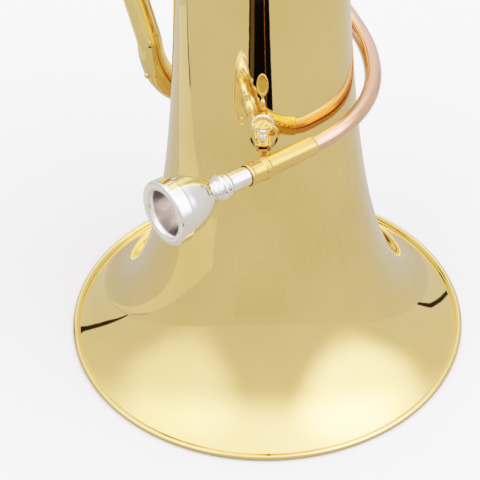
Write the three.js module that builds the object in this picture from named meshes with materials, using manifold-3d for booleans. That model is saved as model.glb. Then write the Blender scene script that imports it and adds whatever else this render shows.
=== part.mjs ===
// A four-valve euphonium, standing on its bell. Millimetres, +Z up.
// The bell's axis is vertical and its rim rests on z = 0. The player sits on the -Y side.
// Everything is laid out around the bell's axis. The whole group is shifted at the end, so that the origin is
// the centre of the footprint.
import * as THREE from "three";
import { mergeVertices } from "three/addons/utils/BufferGeometryUtils.js";
import Module from "manifold-3d";

const wasm = await Module();
wasm.setup();

// ---------------------------------------------------------------- driving dimensions
const GAP = 0.3; // clearance between two pieces that touch or slide
const UP = new THREE.Vector3(0, 0, 1);
const DOWN = new THREE.Vector3(0, 0, -1);

const BELL = { rim: 150, curl: 26, flare: 0.42, top: 470, wall: 0.6, bead: 2.2, sides: 32 };
const BRANCH = { x: 0, y: 128, top: 480, bottom: 218, rTop: 31, rBottom: 16.5, wall: 0.7 };
const BOTTOM_BOW = { start: 535, wall: 0.8, sides: 14, steps: 8 };
const GUARD = { lift: 2.6, wall: 1.2 }; // lift: from the bow's corners to the guard's
const TOP_BOW = { x: -78, y: 50, z: 206, r: 8.7, wall: 0.8 }; // where its small end stops turning
const TUBE = { leg: 7.6, bore: 8.5, sleeve: 9.3, wall: 0.8 }; // slide legs, and the sleeves that they run in

// The receiver's axis passes through this point. It is turned by `angle` from +X, and falls a little towards
// its end.
const RECEIVER = {
  x: 0.2, y: -94.4, z: 199.6, angle: 40.4, fall: 2.6, mouth: -14, end: 38.5, rMouth: 6.9, rEnd: 5.7,
};
const MOUTHPIECE = { out: 59.8, length: 87 }; // out: from the receiver's mouth to the rim

const VALVE = {
  count: 4, pitch: 34, angle: 43.8, x: -90.8, y: 141.5, low: 279, high: 411, r: 13, bore: 11.8,
};
const PORT = { low: 345, high: 366, knuckle: 323, reach: 16, r: 9.1, hole: 8.1 };
const PISTON = { low: 300, high: 376, r: 11.5, stem: 3.2, stemEnd: 253.5, cup: 9.8, cupDepth: 25 };
const SLIDE = { near: 33, far: 68, bend: 13, tops: [470, 410, 512, 520], deepest: 383, longest: 88 };
const KNOB_SINK = 1.2; // how far a pull knob's foot sinks into its crook
const FOURTH_BOW = 277; // where the extra bow of valve 4's slide starts to turn
const TUNING = {
  ax: -101, ay: 73, bx: -152, by: 42, top: 462, depth: 80, bend: 28, sleeveFrom: 368, brace: 60,
};

// ---------------------------------------------------------------- finishes
const LACQUER = { color: 0xd9b45a, roughness: 0.16, metalness: 1 };
const ROSE_BRASS = { color: 0xc88a68, roughness: 0.2, metalness: 1 };
const SILVER = { color: 0xe6e4df, roughness: 0.14, metalness: 1 };
const NICKEL = { color: 0xb9b8b0, roughness: 0.3, metalness: 1 };
const STEEL = { color: 0x8f8f92, roughness: 0.35, metalness: 1 };

const horn = new THREE.Group();

// One named mesh. `at` moves its geometry, and `along` turns the geometry's +Z to that direction.
function add(parent, name, geometry, finish, at = null, along = UP) {
  const mesh = new THREE.Mesh(geometry, new THREE.MeshStandardMaterial(finish));
  mesh.name = name;
  if (at) mesh.position.copy(at);
  mesh.quaternion.setFromUnitVectors(UP, along);
  parent.add(mesh);
  return mesh;
}

// ---------------------------------------------------------------- solids and cuts
function solid(geometry) {
  const bare = new THREE.BufferGeometry();
  const whole = geometry.index ? geometry.toNonIndexed() : geometry;
  bare.setAttribute("position", whole.getAttribute("position"));
  const merged = mergeVertices(bare, 1e-4);
  return new wasm.Manifold(new wasm.Mesh({
    numProp: 3,
    vertProperties: new Float32Array(merged.attributes.position.array),
    triVerts: new Uint32Array(merged.index.array),
  }));
}

function geometryOf(manifold) {
  const mesh = manifold.getMesh();
  const geometry = new THREE.BufferGeometry();
  geometry.setAttribute("position", new THREE.BufferAttribute(new Float32Array(mesh.vertProperties), 3));
  geometry.setIndex(new THREE.BufferAttribute(new Uint32Array(mesh.triVerts), 1));
  return geometry;
}

// The union of some geometries, less some others.
function fused(geometries, cuts = []) {
  const sum = geometries.map(solid).reduce((a, b) => a.add(b));
  return geometryOf(cuts.map(solid).reduce((a, b) => a.subtract(b), sum));
}

// ---------------------------------------------------------------- basic shapes
const vec = (x, y, z) => new THREE.Vector3(x, y, z);
const degrees = THREE.MathUtils.degToRad;
const AXES = [vec(1, 0, 0), vec(0, 1, 0), UP];

// A round shape about +Z from [radius, height] pairs. The outline closes on itself, or runs from axis to
// axis.
function turned(outline, sides = 12) {
  const closed = outline[0][0] > 0 ? [...outline, outline[0]] : outline;
  return new THREE.LatheGeometry(closed.map(([r, z]) => new THREE.Vector2(r, z)), sides).rotateX(Math.PI / 2);
}

// Turns a geometry's +Z to a direction and moves its origin to a point.
function aim(geometry, at, along) {
  const turn = new THREE.Quaternion().setFromUnitVectors(UP, along.clone().normalize());
  return geometry.applyQuaternion(turn).translate(at.x, at.y, at.z);
}

function rod(from, to, r, sides = 8) {
  const length = from.distanceTo(to);
  return aim(turned([[0, 0], [r, 0], [r, length], [0, length]], sides), from, to.clone().sub(from));
}

function box(centre, size, x, y, z) {
  const place = new THREE.Matrix4().makeBasis(x, y, z).setPosition(centre);
  return new THREE.BoxGeometry(...size).applyMatrix4(place);
}

function circle(radius, sides) {
  return Array.from({ length: sides }, (_, k) => {
    const a = (2 * Math.PI * k) / sides;
    return new THREE.Vector2(radius * Math.cos(a), radius * Math.sin(a));
  });
}

// A hollow tube through a row of centres: a ring extruded straight up, one step to a centre, and then bent so
// that each step lies square to the row. outer and inner are radii, or functions of (share of length, step).
function pipe(centres, outer, inner, sides = 8) {
  const steps = centres.length - 1;
  const ring = new THREE.Shape(circle(1, sides));
  ring.holes.push(new THREE.Path(circle(0.5, sides).reverse()));
  const geometry = new THREE.ExtrudeGeometry(ring, { steps, depth: 1, bevelEnabled: false });
  const frames = framesAlong(centres);
  const place = geometry.getAttribute("position");
  for (let v = 0; v < place.count; v++) {
    const i = Math.round(place.getZ(v) * steps);
    const { centre, side, other, share } = frames[i];
    const rim = Math.hypot(place.getX(v), place.getY(v)) > 0.75;
    const size = rim ? outer : inner;
    const r = typeof size === "function" ? size(share, i) : size;
    const reach = r / (rim ? 1 : 0.5);
    const point = centre.clone()
      .addScaledVector(side, reach * place.getX(v))
      .addScaledVector(other, reach * place.getY(v));
    place.setXYZ(v, point.x, point.y, point.z);
  }
  return geometry;
}

// At each centre: the share of the row's length so far, and two directions square to the row.
function framesAlong(centres) {
  const last = centres.length - 1;
  const step = (i) => centres[i + 1].clone().sub(centres[i]).normalize();
  const tangents = centres.map((_, i) => {
    const sum = i < last ? step(i) : step(last - 1);
    return i > 0 && i < last ? sum.add(step(i - 1)).normalize() : sum;
  });
  const lengths = centres.map((c, i) => (i ? c.distanceTo(centres[i - 1]) : 0));
  const total = lengths.reduce((a, b) => a + b, 0);
  const side = Math.abs(tangents[0].z) > 0.9 ? vec(1, 0, 0) : vec(0, 0, 1);
  let run = 0;
  return centres.map((centre, i) => {
    run += lengths[i];
    side.addScaledVector(tangents[i], -side.dot(tangents[i])).normalize();
    const other = tangents[i].clone().cross(side);
    return { centre, side: side.clone(), other, share: run / total };
  });
}

// Centres along an arc that leaves `from` along `heading` and turns towards `towards`.
function arc(from, heading, towards, radius, angle, steps) {
  return Array.from({ length: steps }, (_, i) => {
    const a = degrees((angle * (i + 1)) / steps);
    return from.clone()
      .addScaledVector(towards, radius * (1 - Math.cos(a)))
      .addScaledVector(heading, radius * Math.sin(a));
  });
}

// ---------------------------------------------------------------- bell
const bellRadius = (z) => BELL.rim * ((z + BELL.curl) / BELL.curl) ** -BELL.flare;

// The heights grow evenly in ratio, so that the points crowd where the flare curls.
const bellSteps = 9;
const bellHeights = Array.from({ length: bellSteps + 1 }, (_, k) => {
  const lowest = BELL.curl + 3;
  return lowest * ((BELL.top + BELL.curl) / lowest) ** (k / bellSteps) - BELL.curl;
});

function bellOutline() {
  const outside = bellHeights.map((z) => [bellRadius(z), z]);
  const inside = bellHeights.map((z) => {
    const slope = -BELL.flare * bellRadius(z) / (z + BELL.curl);
    const length = Math.hypot(1, slope);
    return [bellRadius(z) - BELL.wall / length, Math.min(z + (BELL.wall * slope) / length, BELL.top)];
  });
  inside[bellSteps] = [bellRadius(BELL.top) - BELL.wall, BELL.top];
  // The rolled bead has eight sides, so that it stands on a narrow flat ring.
  const corner = BELL.bead / Math.cos(Math.PI / 8);
  const bead = Array.from({ length: 7 }, (_, k) => {
    const a = degrees(-157.5 + 45 * k);
    return [BELL.rim - BELL.bead + corner * Math.cos(a), BELL.bead + corner * Math.sin(a)];
  });
  return [...inside.reverse(), ...bead, ...outside];
}
add(horn, "bell", turned(bellOutline(), BELL.sides), LACQUER);

// A sleeve over the joint of two tubes, wide enough for a tube of the given radius.
function ferrule(name, at, along, radius, height) {
  const sides = 16;
  const inner = (radius + GAP) / Math.cos(Math.PI / sides);
  const ring = [[inner, 0], [inner + 1.2, 0], [inner + 1.2, height], [inner, height]];
  add(horn, name, turned(ring, sides), LACQUER, at, along);
}
ferrule("bell_ferrule", vec(0, 0, BELL.top - 12), UP, bellRadius(BELL.top - 12), 26);

// ---------------------------------------------------------------- bottom bow, main branch and top bow
const branchRadius = (z) => THREE.MathUtils.mapLinear(
  z, BRANCH.bottom, BRANCH.top, BRANCH.rBottom, BRANCH.rTop);
const bowTurn = BRANCH.y / 2;
const bowCrown = vec(0, bowTurn, BOTTOM_BOW.start + bowTurn);
const bowRadius = (share) => THREE.MathUtils.lerp(bellRadius(BELL.top), BRANCH.rTop, share);

const bowCentres = [
  vec(0, 0, BELL.top + GAP),
  vec(0, 0, BOTTOM_BOW.start),
  ...arc(vec(0, 0, BOTTOM_BOW.start), UP, vec(0, 1, 0), bowTurn, 180, BOTTOM_BOW.steps),
  vec(0, BRANCH.y, BRANCH.top + GAP),
];
add(horn, "bottom_bow", pipe(bowCentres, bowRadius, (share) => bowRadius(share) - BOTTOM_BOW.wall,
  BOTTOM_BOW.sides), LACQUER);

// A thin cap over the crown of the bottom bow, with a wear stud on it. It follows the bow's own steps.
function bowGuard() {
  const crown = 1 + BOTTOM_BOW.steps / 2;
  const around = 2;
  const shares = framesAlong(bowCentres).map((frame) => frame.share);
  const outside = (share, i) => bowRadius(shares[crown - around + i]) + GUARD.lift;
  const inside = (share, i) => outside(share, i) - GUARD.wall;
  const shell = pipe(bowCentres.slice(crown - around, crown + around + 1), outside, inside, BOTTOM_BOW.sides);
  const side = 200;
  const below = box(bowCrown.clone().setZ(bowCrown.z + 10 - side / 2), [side, side, side], ...AXES);
  const stud = turned([[0, -1], [5, -1], [5, 1.4], [3.4, 3], [0, 3.4]], 10);
  return fused([shell, aim(stud, bowCrown.clone().add(vec(0, 0, outside(0, around) - 0.6)), UP)], [below]);
}
add(horn, "bow_guard", bowGuard(), LACQUER);

const branchAt = (z) => vec(BRANCH.x, BRANCH.y, z);
ferrule("branch_ferrule", branchAt(BRANCH.top - 12), UP, BRANCH.rTop + 0.7, 24);
add(horn, "main_branch", turned([
  [BRANCH.rBottom, BRANCH.bottom], [BRANCH.rTop, BRANCH.top],
  [BRANCH.rTop - BRANCH.wall, BRANCH.top], [BRANCH.rBottom - BRANCH.wall, BRANCH.bottom],
], 16), LACQUER, branchAt(0));
ferrule("top_bow_ferrule", branchAt(BRANCH.bottom - 8), UP, BRANCH.rBottom + 0.6, 18);

// The small end of the top bow leans out to the left as it climbs to the tuning slide.
const topBowEnd = vec(TOP_BOW.x, TOP_BOW.y, TOP_BOW.z);
const leaning = new THREE.CatmullRomCurve3([
  topBowEnd, vec(-82.5, 55, 224), vec(-88.8, 61, 246), vec(-95, 67, 270), vec(-99.5, 71.3, 294),
  vec(TUNING.ax, TUNING.ay, 318), vec(TUNING.ax, TUNING.ay, 345),
]);
const lean = leaning.getSpacedPoints(10);
const bowSpan = topBowEnd.clone().setZ(0).sub(branchAt(0));
const topBowCentres = [
  branchAt(BRANCH.bottom - GAP),
  branchAt(TOP_BOW.z),
  ...arc(branchAt(TOP_BOW.z), DOWN, bowSpan.clone().normalize(), bowSpan.length() / 2, 180, 9),
  ...lean.slice(1, 4),
];
const topBowRadius = (share) => Math.max(
  TOP_BOW.r, THREE.MathUtils.lerp(BRANCH.rBottom, TOP_BOW.r, share / 0.82));
const bumperAt = topBowCentres[9].clone().add(vec(-6.2, -6.2, -5));
add(horn, "top_bow", fused([
  pipe(topBowCentres, topBowRadius, (share) => topBowRadius(share) - TOP_BOW.wall, 10),
  aim(turned([[0, -2.5], [2.2, -2.5], [2.2, 0.9], [0, 1.6]], 8), bumperAt, vec(-0.62, -0.62, -0.5)),
]), LACQUER);
const leanDirection = lean[4].clone().sub(lean[2]).normalize();
ferrule("tuning_branch_ferrule", lean[3].clone().addScaledVector(leanDirection, -6), leanDirection,
  TOP_BOW.r + 0.2, 12);

// ---------------------------------------------------------------- main tuning slide
const tuningA = (z) => vec(TUNING.ax, TUNING.ay, z);
const tuningB = (z) => vec(TUNING.bx, TUNING.by, z);
const tuningBranchCentres = [
  lean[3].clone().addScaledVector(leanDirection, 2 * GAP), ...lean.slice(4), tuningA(TUNING.sleeveFrom),
  tuningA(TUNING.top),
];
const sleeveStep = tuningBranchCentres.length - 2;
add(horn, "tuning_branch", pipe(tuningBranchCentres,
  (share, i) => (i < sleeveStep ? TOP_BOW.r : TUBE.sleeve),
  (share, i) => (i < sleeveStep ? TOP_BOW.r - TUBE.wall : TUBE.bore)), LACQUER);

// ---------------------------------------------------------------- valve section
// In the bank's own frame the valves stand in a row along X, valve 1 at the +X end, with their slides on +Y.
const rowAngle = degrees(VALVE.angle);
const bank = new THREE.Group();
bank.position.set(VALVE.x, VALVE.y, 0);
bank.rotation.z = rowAngle;
horn.add(bank);

const valveX = (i) => ((VALVE.count - 1) / 2 - i) * VALVE.pitch;
const toWorld = (point) => point.clone().applyAxisAngle(UP, rowAngle).add(bank.position);
const toBank = (direction) => direction.clone().applyAxisAngle(UP, -rowAngle);
const valveWorld = (i, z) => toWorld(vec(valveX(i), 0, z));

const entry = vec(0.98, 0.196, 0).normalize(); // where the leadpipe meets valve 1
const entryReach = PORT.reach + 3;
// where valve 4 feeds the tuning slide
const exit = tuningB(0).sub(valveWorld(VALVE.count - 1, 0)).normalize();
const SLIDE_SIDE = vec(0, 1, 0);
const NEXT_VALVE = vec(-1, 0, 0);

const lastValve = (i) => i === VALVE.count - 1;

function casing(i) {
  const ports = [
    { towards: SLIDE_SIDE, z: PORT.high, reach: PORT.reach },
    { towards: SLIDE_SIDE, z: PORT.low, reach: PORT.reach },
  ];
  if (i === 0) ports.push({ towards: toBank(entry), z: PORT.low, reach: entryReach });
  if (lastValve(i)) ports.push({ towards: toBank(exit), z: PORT.low, reach: PORT.reach });
  else ports.push({ towards: NEXT_VALVE, z: PORT.knuckle, reach: VALVE.pitch - VALVE.r - 2 * GAP });
  const barrel = turned([
    [VALVE.bore, VALVE.low], [VALVE.r, VALVE.low], [VALVE.r, VALVE.high], [VALVE.bore, VALVE.high],
  ]);
  const along = (port, distance) => port.towards.clone().multiplyScalar(distance).setZ(port.z);
  const stubs = ports.map((p) => rod(along(p, VALVE.bore + 0.3), along(p, p.reach), PORT.r));
  const holes = ports.map((p) => rod(along(p, 6), along(p, p.reach + 1), PORT.hole));
  return fused([barrel, ...stubs], holes);
}

const CAP = { inner: VALVE.r + GAP + 0.05, outer: 15.2, plate: 4, depth: 12 };
const topCapOutline = [
  [4, VALVE.low - CAP.plate], [CAP.outer - 1, VALVE.low - CAP.plate], [CAP.outer, VALVE.low + CAP.depth],
  [CAP.inner, VALVE.low + CAP.depth], [CAP.inner, VALVE.low - GAP], [4, VALVE.low - GAP],
];
const bottomCapOutline = [
  [3, VALVE.high + GAP], [CAP.inner, VALVE.high + GAP], [CAP.inner, VALVE.high - CAP.depth],
  [CAP.outer, VALVE.high - CAP.depth], [CAP.outer - 1, VALVE.high + 4], [3, VALVE.high + 6],
];

function piston() {
  const body = turned([
    [0, PISTON.stemEnd], [PISTON.stem, PISTON.stemEnd], [PISTON.stem, PISTON.low], [PISTON.r, PISTON.low],
    [PISTON.r, PISTON.high], [PISTON.cup, PISTON.high], [PISTON.cup, PISTON.high - PISTON.cupDepth],
    [0, PISTON.high - PISTON.cupDepth],
  ]);
  const through = PORT.low - 3;
  const passage = rod(vec(-15, 0, through), vec(15, 0, through), 6.8);
  return fused([body], [passage]);
}

const buttonOutline = [
  [0, 246], [9.8, 246], [9.8, 248.6], [4.6, 250.2], [4.6, PISTON.stemEnd - GAP], [0, PISTON.stemEnd - GAP],
];

// A compression spring between the piston's cup and the bottom cap.
function valveSpring() {
  const from = PISTON.high - PISTON.cupDepth + 1.2;
  const to = VALVE.high - 1;
  const turns = 4;
  const perTurn = 8;
  const radius = 8;
  const wire = 0.7;
  const centres = Array.from({ length: turns * perTurn + 1 }, (_, k) => {
    const a = (2 * Math.PI * k) / perTurn;
    return vec(radius * Math.cos(a), radius * Math.sin(a), from + ((to - from) * k) / (turns * perTurn));
  });
  return new THREE.ExtrudeGeometry(new THREE.Shape(circle(wire, 4)), {
    steps: turns * 5, extrudePath: new THREE.CatmullRomCurve3(centres), bevelEnabled: false,
  });
}

// From a port straight out, then a quarter turn up or down, to `reach` from the casing's axis.
function elbow(z, reach, turnTo) {
  const turn = vec(0, reach - SLIDE.bend, z);
  const start = vec(0, PORT.reach + GAP, z);
  const straight = turn.y > start.y + 1 ? [start, turn] : [start];
  return [...straight, ...arc(turn, SLIDE_SIDE, turnTo, SLIDE.bend, 90, 3)];
}

// Where the two legs of a valve's slide stand, in the valve's own frame.
const nearLeg = (z) => vec(0, SLIDE.near, z);
const farLeg = (i) => (z) => vec(lastValve(i) ? -VALVE.pitch : 0, SLIDE.far, z);

// The fixed half of a valve's slide: two sleeves from the ports, and the brace between them.
function slideSleeves(i) {
  const top = SLIDE.tops[i];
  const far = farLeg(i);
  const near = [...elbow(PORT.high, SLIDE.near, UP), nearLeg(top)];
  let farther = [...elbow(PORT.low, SLIDE.far, UP), far(top)];
  if (lastValve(i)) {
    const turn = vec(0, SLIDE.far, FOURTH_BOW);
    farther = [...elbow(PORT.low, SLIDE.far, DOWN), turn,
      ...arc(turn, DOWN, NEXT_VALVE, VALVE.pitch / 2, 180, 6), far(top)];
  }
  const braceZ = top - 16;
  const across = far(0).sub(nearLeg(0)).normalize();
  const inWall = (TUBE.bore + TUBE.sleeve) / 2 - 0.2;
  const brace = rod(nearLeg(braceZ).addScaledVector(across, inWall),
    far(braceZ).addScaledVector(across, -inWall), 2.2, 6);
  return fused([pipe(near, TUBE.sleeve, TUBE.bore), pipe(farther, TUBE.sleeve, TUBE.bore), brace]);
}

// The half of a slide that pulls out: two legs, a half turn and a pull knob.
function crook(legA, legB, top, depth, steps, extra = []) {
  const across = legB(0).sub(legA(0));
  const turn = legA(top + 6);
  const centres = [legA(top - depth), turn,
    ...arc(turn, UP, across.clone().normalize(), across.length() / 2, 180, steps), legB(top - depth)];
  const rise = across.length() / 2 + TUBE.leg - KNOB_SINK;
  const crown = turn.clone().addScaledVector(across, 0.5).add(vec(0, 0, rise));
  const knob = turned([[0, 0], [2.2, 0], [2.2, 4], [4.2, 6], [4.2, 8], [0, 10]], 8);
  return fused([pipe(centres, TUBE.leg, TUBE.leg - TUBE.wall), aim(knob, crown, UP), ...extra]);
}

for (let i = 0; i < VALVE.count; i++) {
  const valve = new THREE.Group();
  valve.position.x = valveX(i);
  bank.add(valve);
  const depth = Math.min(SLIDE.tops[i] - SLIDE.deepest, SLIDE.longest);
  add(valve, `valve_casing_${i + 1}`, casing(i), LACQUER);
  add(valve, `top_cap_${i + 1}`, turned(topCapOutline), NICKEL);
  add(valve, `bottom_cap_${i + 1}`, turned(bottomCapOutline), NICKEL);
  add(valve, `piston_${i + 1}`, piston(), NICKEL);
  add(valve, `finger_button_${i + 1}`, turned(buttonOutline, 10), LACQUER);
  add(valve, `valve_spring_${i + 1}`, valveSpring(), STEEL);
  add(valve, `slide_${i + 1}_sleeves`, slideSleeves(i), LACQUER);
  add(valve, `slide_${i + 1}`, crook(nearLeg, farLeg(i), SLIDE.tops[i], depth, 6), LACQUER);
}

// ---------------------------------------------------------------- from valve 4 to the tuning slide
const legFoot = PORT.low + TUNING.bend;
const exitEnd = valveWorld(VALVE.count - 1, PORT.low).addScaledVector(exit, PORT.reach + GAP);
const legTurn = tuningB(PORT.low).addScaledVector(exit, -TUNING.bend);
const tuningLegCentres = [
  exitEnd, legTurn,
  ...arc(legTurn, exit, UP, TUNING.bend, 90, 4),
  tuningB(TUNING.top),
];
const tuningAcross = tuningB(0).sub(tuningA(0)).normalize();
const legBraceZ = legFoot + TUNING.brace;
const legBrace = rod(tuningB(legBraceZ).addScaledVector(tuningAcross, -TUBE.sleeve + 0.4),
  tuningA(legBraceZ).addScaledVector(tuningAcross, TUBE.sleeve + GAP), 2.2, 6);
add(horn, "tuning_slide_leg", fused([
  pipe(tuningLegCentres, TUBE.sleeve, TUBE.bore), legBrace]), LACQUER);

// The water key sits on the outside of the tuning slide's bend. Its own directions are keyOut away from the
// tube, keyAlong down the tube, and keySide across it.
const keyTilt = degrees(52);
const keySide = tuningAcross.clone().cross(UP);
const keyOut = tuningAcross.clone().multiplyScalar(Math.cos(keyTilt))
  .addScaledVector(UP, Math.sin(keyTilt));
const keyAlong = tuningAcross.clone().multiplyScalar(Math.sin(keyTilt))
  .addScaledVector(UP, -Math.cos(keyTilt));
const bendCentre = tuningA(TUNING.top + 6).lerp(tuningB(TUNING.top + 6), 0.5);
const bendRadius = tuningA(0).distanceTo(tuningB(0)) / 2;
const nippleFoot = bendCentre.clone().addScaledVector(keyOut, bendRadius + TUBE.leg - 1);
const KEY = { nipple: 3.2, pinDistance: 17, pinLift: 2.6, earGap: 4.6, pin: 1, barrel: 2.5, armLift: 5.2 };
const keyPoint = (side, along, out) => nippleFoot.clone()
  .addScaledVector(keySide, side).addScaledVector(keyAlong, along).addScaledVector(keyOut, out);
const keyBox = (centre, size) => box(centre, size, keySide, keyAlong, keyOut);
const pinRod = (r, half) => rod(
  keyPoint(-half, KEY.pinDistance, KEY.pinLift), keyPoint(half, KEY.pinDistance, KEY.pinLift), r);

const tuningCrook = crook(tuningA, tuningB, TUNING.top, TUNING.depth, 8, [
  aim(turned([[0, 0], [3, 0], [3, KEY.nipple], [0, KEY.nipple]], 8), nippleFoot, keyOut),
  keyBox(keyPoint(0, KEY.pinDistance, -4.2), [11, 6, 6]),
  ...[-KEY.earGap, KEY.earGap].map((side) => keyBox(keyPoint(side, KEY.pinDistance, 0.6), [1.8, 6, 9])),
]);
add(horn, "tuning_slide", fused([tuningCrook], [pinRod(KEY.pin + GAP, 8)]), LACQUER);

add(horn, "water_key", fused([
  pinRod(KEY.barrel, KEY.earGap - 0.9 - GAP),
  keyBox(keyPoint(0, 7, KEY.armLift), [3, 19, 2]),
  aim(turned([[0, 0], [4.2, 0], [4.2, 2.4], [0, 3.4]], 10), keyPoint(0, 0, KEY.nipple + GAP), keyOut),
  keyBox(keyPoint(0, KEY.pinDistance + 9, KEY.armLift), [5.5, 19, 2]),
], [pinRod(KEY.pin + GAP, 8)]), LACQUER);
add(horn, "water_key_pin", pinRod(KEY.pin, 6.2), STEEL);

// ---------------------------------------------------------------- receiver, mouthpiece and leadpipe
const blow = vec(Math.cos(degrees(RECEIVER.angle)), Math.sin(degrees(RECEIVER.angle)),
  -Math.tan(degrees(RECEIVER.fall))).normalize(); // the way the air goes
const receiverAt = (s) => vec(RECEIVER.x, RECEIVER.y, RECEIVER.z).addScaledVector(blow, s);
const receiverLength = RECEIVER.end - RECEIVER.mouth;

add(horn, "receiver", turned([
  [6.3, 0], [RECEIVER.rMouth, 0], [RECEIVER.rMouth, 2], [6.6, 11.4], [7.2, 12], [7.2, 14], [6.6, 14.6],
  [RECEIVER.rEnd, receiverLength], [5.25, receiverLength], [5.25, 38.5], [5.9, 30],
], 12), LACQUER, receiverAt(RECEIVER.mouth), blow);

add(horn, "mouthpiece", turned([
  [13.6, 0.6], [15, 0], [17.8, 0], [19.75, 1.8], [19.75, 8.5], [17.7, 9], [17.2, 13], [15.6, 19.5],
  [12.6, 25.5], [8.6, 31], [6, 35], [6.6, 36.8], [5.7, 38.2], [7.8, 39.6], [7.8, 41.6], [6.2, 42.8],
  [7, 44.4], [6.1, 46], [5.9, MOUTHPIECE.out], [5.5, MOUTHPIECE.length], [4.6, MOUTHPIECE.length], [3.3, 36],
  [5.4, 31.5], [9.4, 25.5], [11.8, 17], [12.7, 6],
], 16), SILVER, receiverAt(RECEIVER.mouth - MOUTHPIECE.out), blow);

const leadEnd = valveWorld(0, PORT.low).addScaledVector(entry, entryReach + GAP);
const leadCurve = new THREE.CatmullRomCurve3([
  receiverAt(RECEIVER.end + 2), vec(41, -61, 199), vec(51, -50, 200.2), vec(60, -37, 201.3),
  vec(67, -21.5, 202.4), vec(71.5, -2.5, 203.5), vec(72.6, 19.5, 204.6), vec(70.8, 41, 206),
  vec(66.2, 61, 208), vec(59, 81, 211.5), vec(51, 101, 217), vec(45, 122, 225), vec(40, 144, 236),
  vec(32, 166, 254), vec(20, 181, 280), vec(8, 188.5, 308), vec(-4, 188.8, 332),
  leadEnd.clone().addScaledVector(entry, 13),
]);
const leadCentres = [receiverAt(RECEIVER.end - 12), ...leadCurve.getSpacedPoints(19), leadEnd];
const leadRadius = (share) => 4.8 + 4.2 * share ** 1.2;
add(horn, "leadpipe", pipe(leadCentres, leadRadius, (share) => leadRadius(share) - TUBE.wall), ROSE_BRASS);

// ---------------------------------------------------------------- braces
// The space that a round piece takes about a vertical axis, with the gap added, at the given heights.
function keepOut(radiusAt, heights, sides) {
  return turned([[0, heights[0]], ...heights.map((z) => [radiusAt(z) + GAP, z]), [0, heights.at(-1)]], sides);
}
const bellSpace = keepOut(bellRadius, bellHeights.slice(1), BELL.sides);
const branchSpace = keepOut(branchRadius, [BRANCH.bottom + 1, BRANCH.top - 1], 16)
  .translate(BRANCH.x, BRANCH.y, 0);
const casingSpace = (i) => keepOut(() => VALVE.r, [VALVE.low, VALVE.high], 24)
  .translate(valveWorld(i, 0).x, valveWorld(i, 0).y, 0);

// A turned post between two surfaces: [radius, distance] pairs along it, trimmed to what it is soldered to.
function post(name, from, to, beads, trims) {
  const shape = turned([[0, beads[0][1]], ...beads, [0, beads.at(-1)[1]]], 8);
  add(horn, name, fused([aim(shape, from, to.clone().sub(from))], trims), LACQUER);
}
const spindle = (length, foot) => [
  [foot, -4], [foot, 1.4], [2.2, 3.5], [2.8, length * 0.3], [4, length * 0.5], [2.8, length * 0.7],
  [2.2, length - 3.5], [foot, length - 1.4], [foot, length + 4],
];

const receiverSpace = rod(receiverAt(RECEIVER.mouth - 1), receiverAt(RECEIVER.end + 1), 7.6, 16);
post("receiver_brace", vec(RECEIVER.x, -bellRadius(RECEIVER.z), RECEIVER.z), receiverAt(0), [
  [9.6, -4], [9.6, 1.2], [2.4, 2.4], [2, 4], [2.9, 6], [2.9, 8], [2, 9.8], [3.3, 12.6], [3.3, 14.6],
  [1.9, 17], [3, 20.6], [3, 22.4], [2.2, 24.4], [5.2, 26.2], [5.2, 32],
], [bellSpace, receiverSpace]);

for (const [k, z] of [300, 415].entries()) {
  const from = vec(0, bellRadius(z), z);
  const to = branchAt(z).add(vec(0, -branchRadius(z), 0));
  post(`bell_brace_${k + 1}`, from, to, spindle(from.distanceTo(to), 9), [bellSpace, branchSpace]);
}

const valveBraceZ = 388;
const braceReach = branchAt(valveBraceZ).sub(valveWorld(1, valveBraceZ)).normalize();
const braceFrom = valveWorld(1, valveBraceZ).addScaledVector(braceReach, VALVE.r);
const braceTo = branchAt(valveBraceZ).addScaledVector(braceReach, -branchRadius(valveBraceZ));
post("valve_brace", braceFrom, braceTo, spindle(braceFrom.distanceTo(braceTo), 6),
  [casingSpace(1), branchSpace]);

const leadBraceStep = 13; // the brace stands beside this step of the leadpipe
const leadAt = leadCentres[leadBraceStep].clone().lerp(leadCentres[leadBraceStep + 1], 0.5);
const leadBraceRadius = leadRadius((leadBraceStep + 0.5) / (leadCentres.length - 1));
const leadSpace = rod(
  leadCentres[leadBraceStep - 1], leadCentres[leadBraceStep + 2], leadBraceRadius + 1.5, 12);
const leadBraceReach = leadAt.clone().sub(branchAt(leadAt.z)).normalize();
const leadBraceFrom = branchAt(leadAt.z).addScaledVector(leadBraceReach, branchRadius(leadAt.z));
const leadBraceLength = leadBraceFrom.distanceTo(leadAt) - leadBraceRadius;
post("leadpipe_brace", leadBraceFrom, leadAt, spindle(leadBraceLength, 4.5), [branchSpace, leadSpace]);

// ---------------------------------------------------------------- lyre holder and its thumb screw
// The screw hangs down from the middle of its coin-shaped head, and leans towards the bell.
const screwLean = degrees(13.5);
const screwDown = vec(0, Math.sin(screwLean), -Math.cos(screwLean));
const screwFace = vec(0, -Math.cos(screwLean), -Math.sin(screwLean)); // square to the coin
const screwAt = (s) => vec(-0.5, -84, 223.4).addScaledVector(screwDown, s);
const SCREW = { coin: 6.9, thickness: 2, ball: 11.2, end: 15.6, r: 1.7, socket: 16.8, socketHeight: 5.2 };

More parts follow.
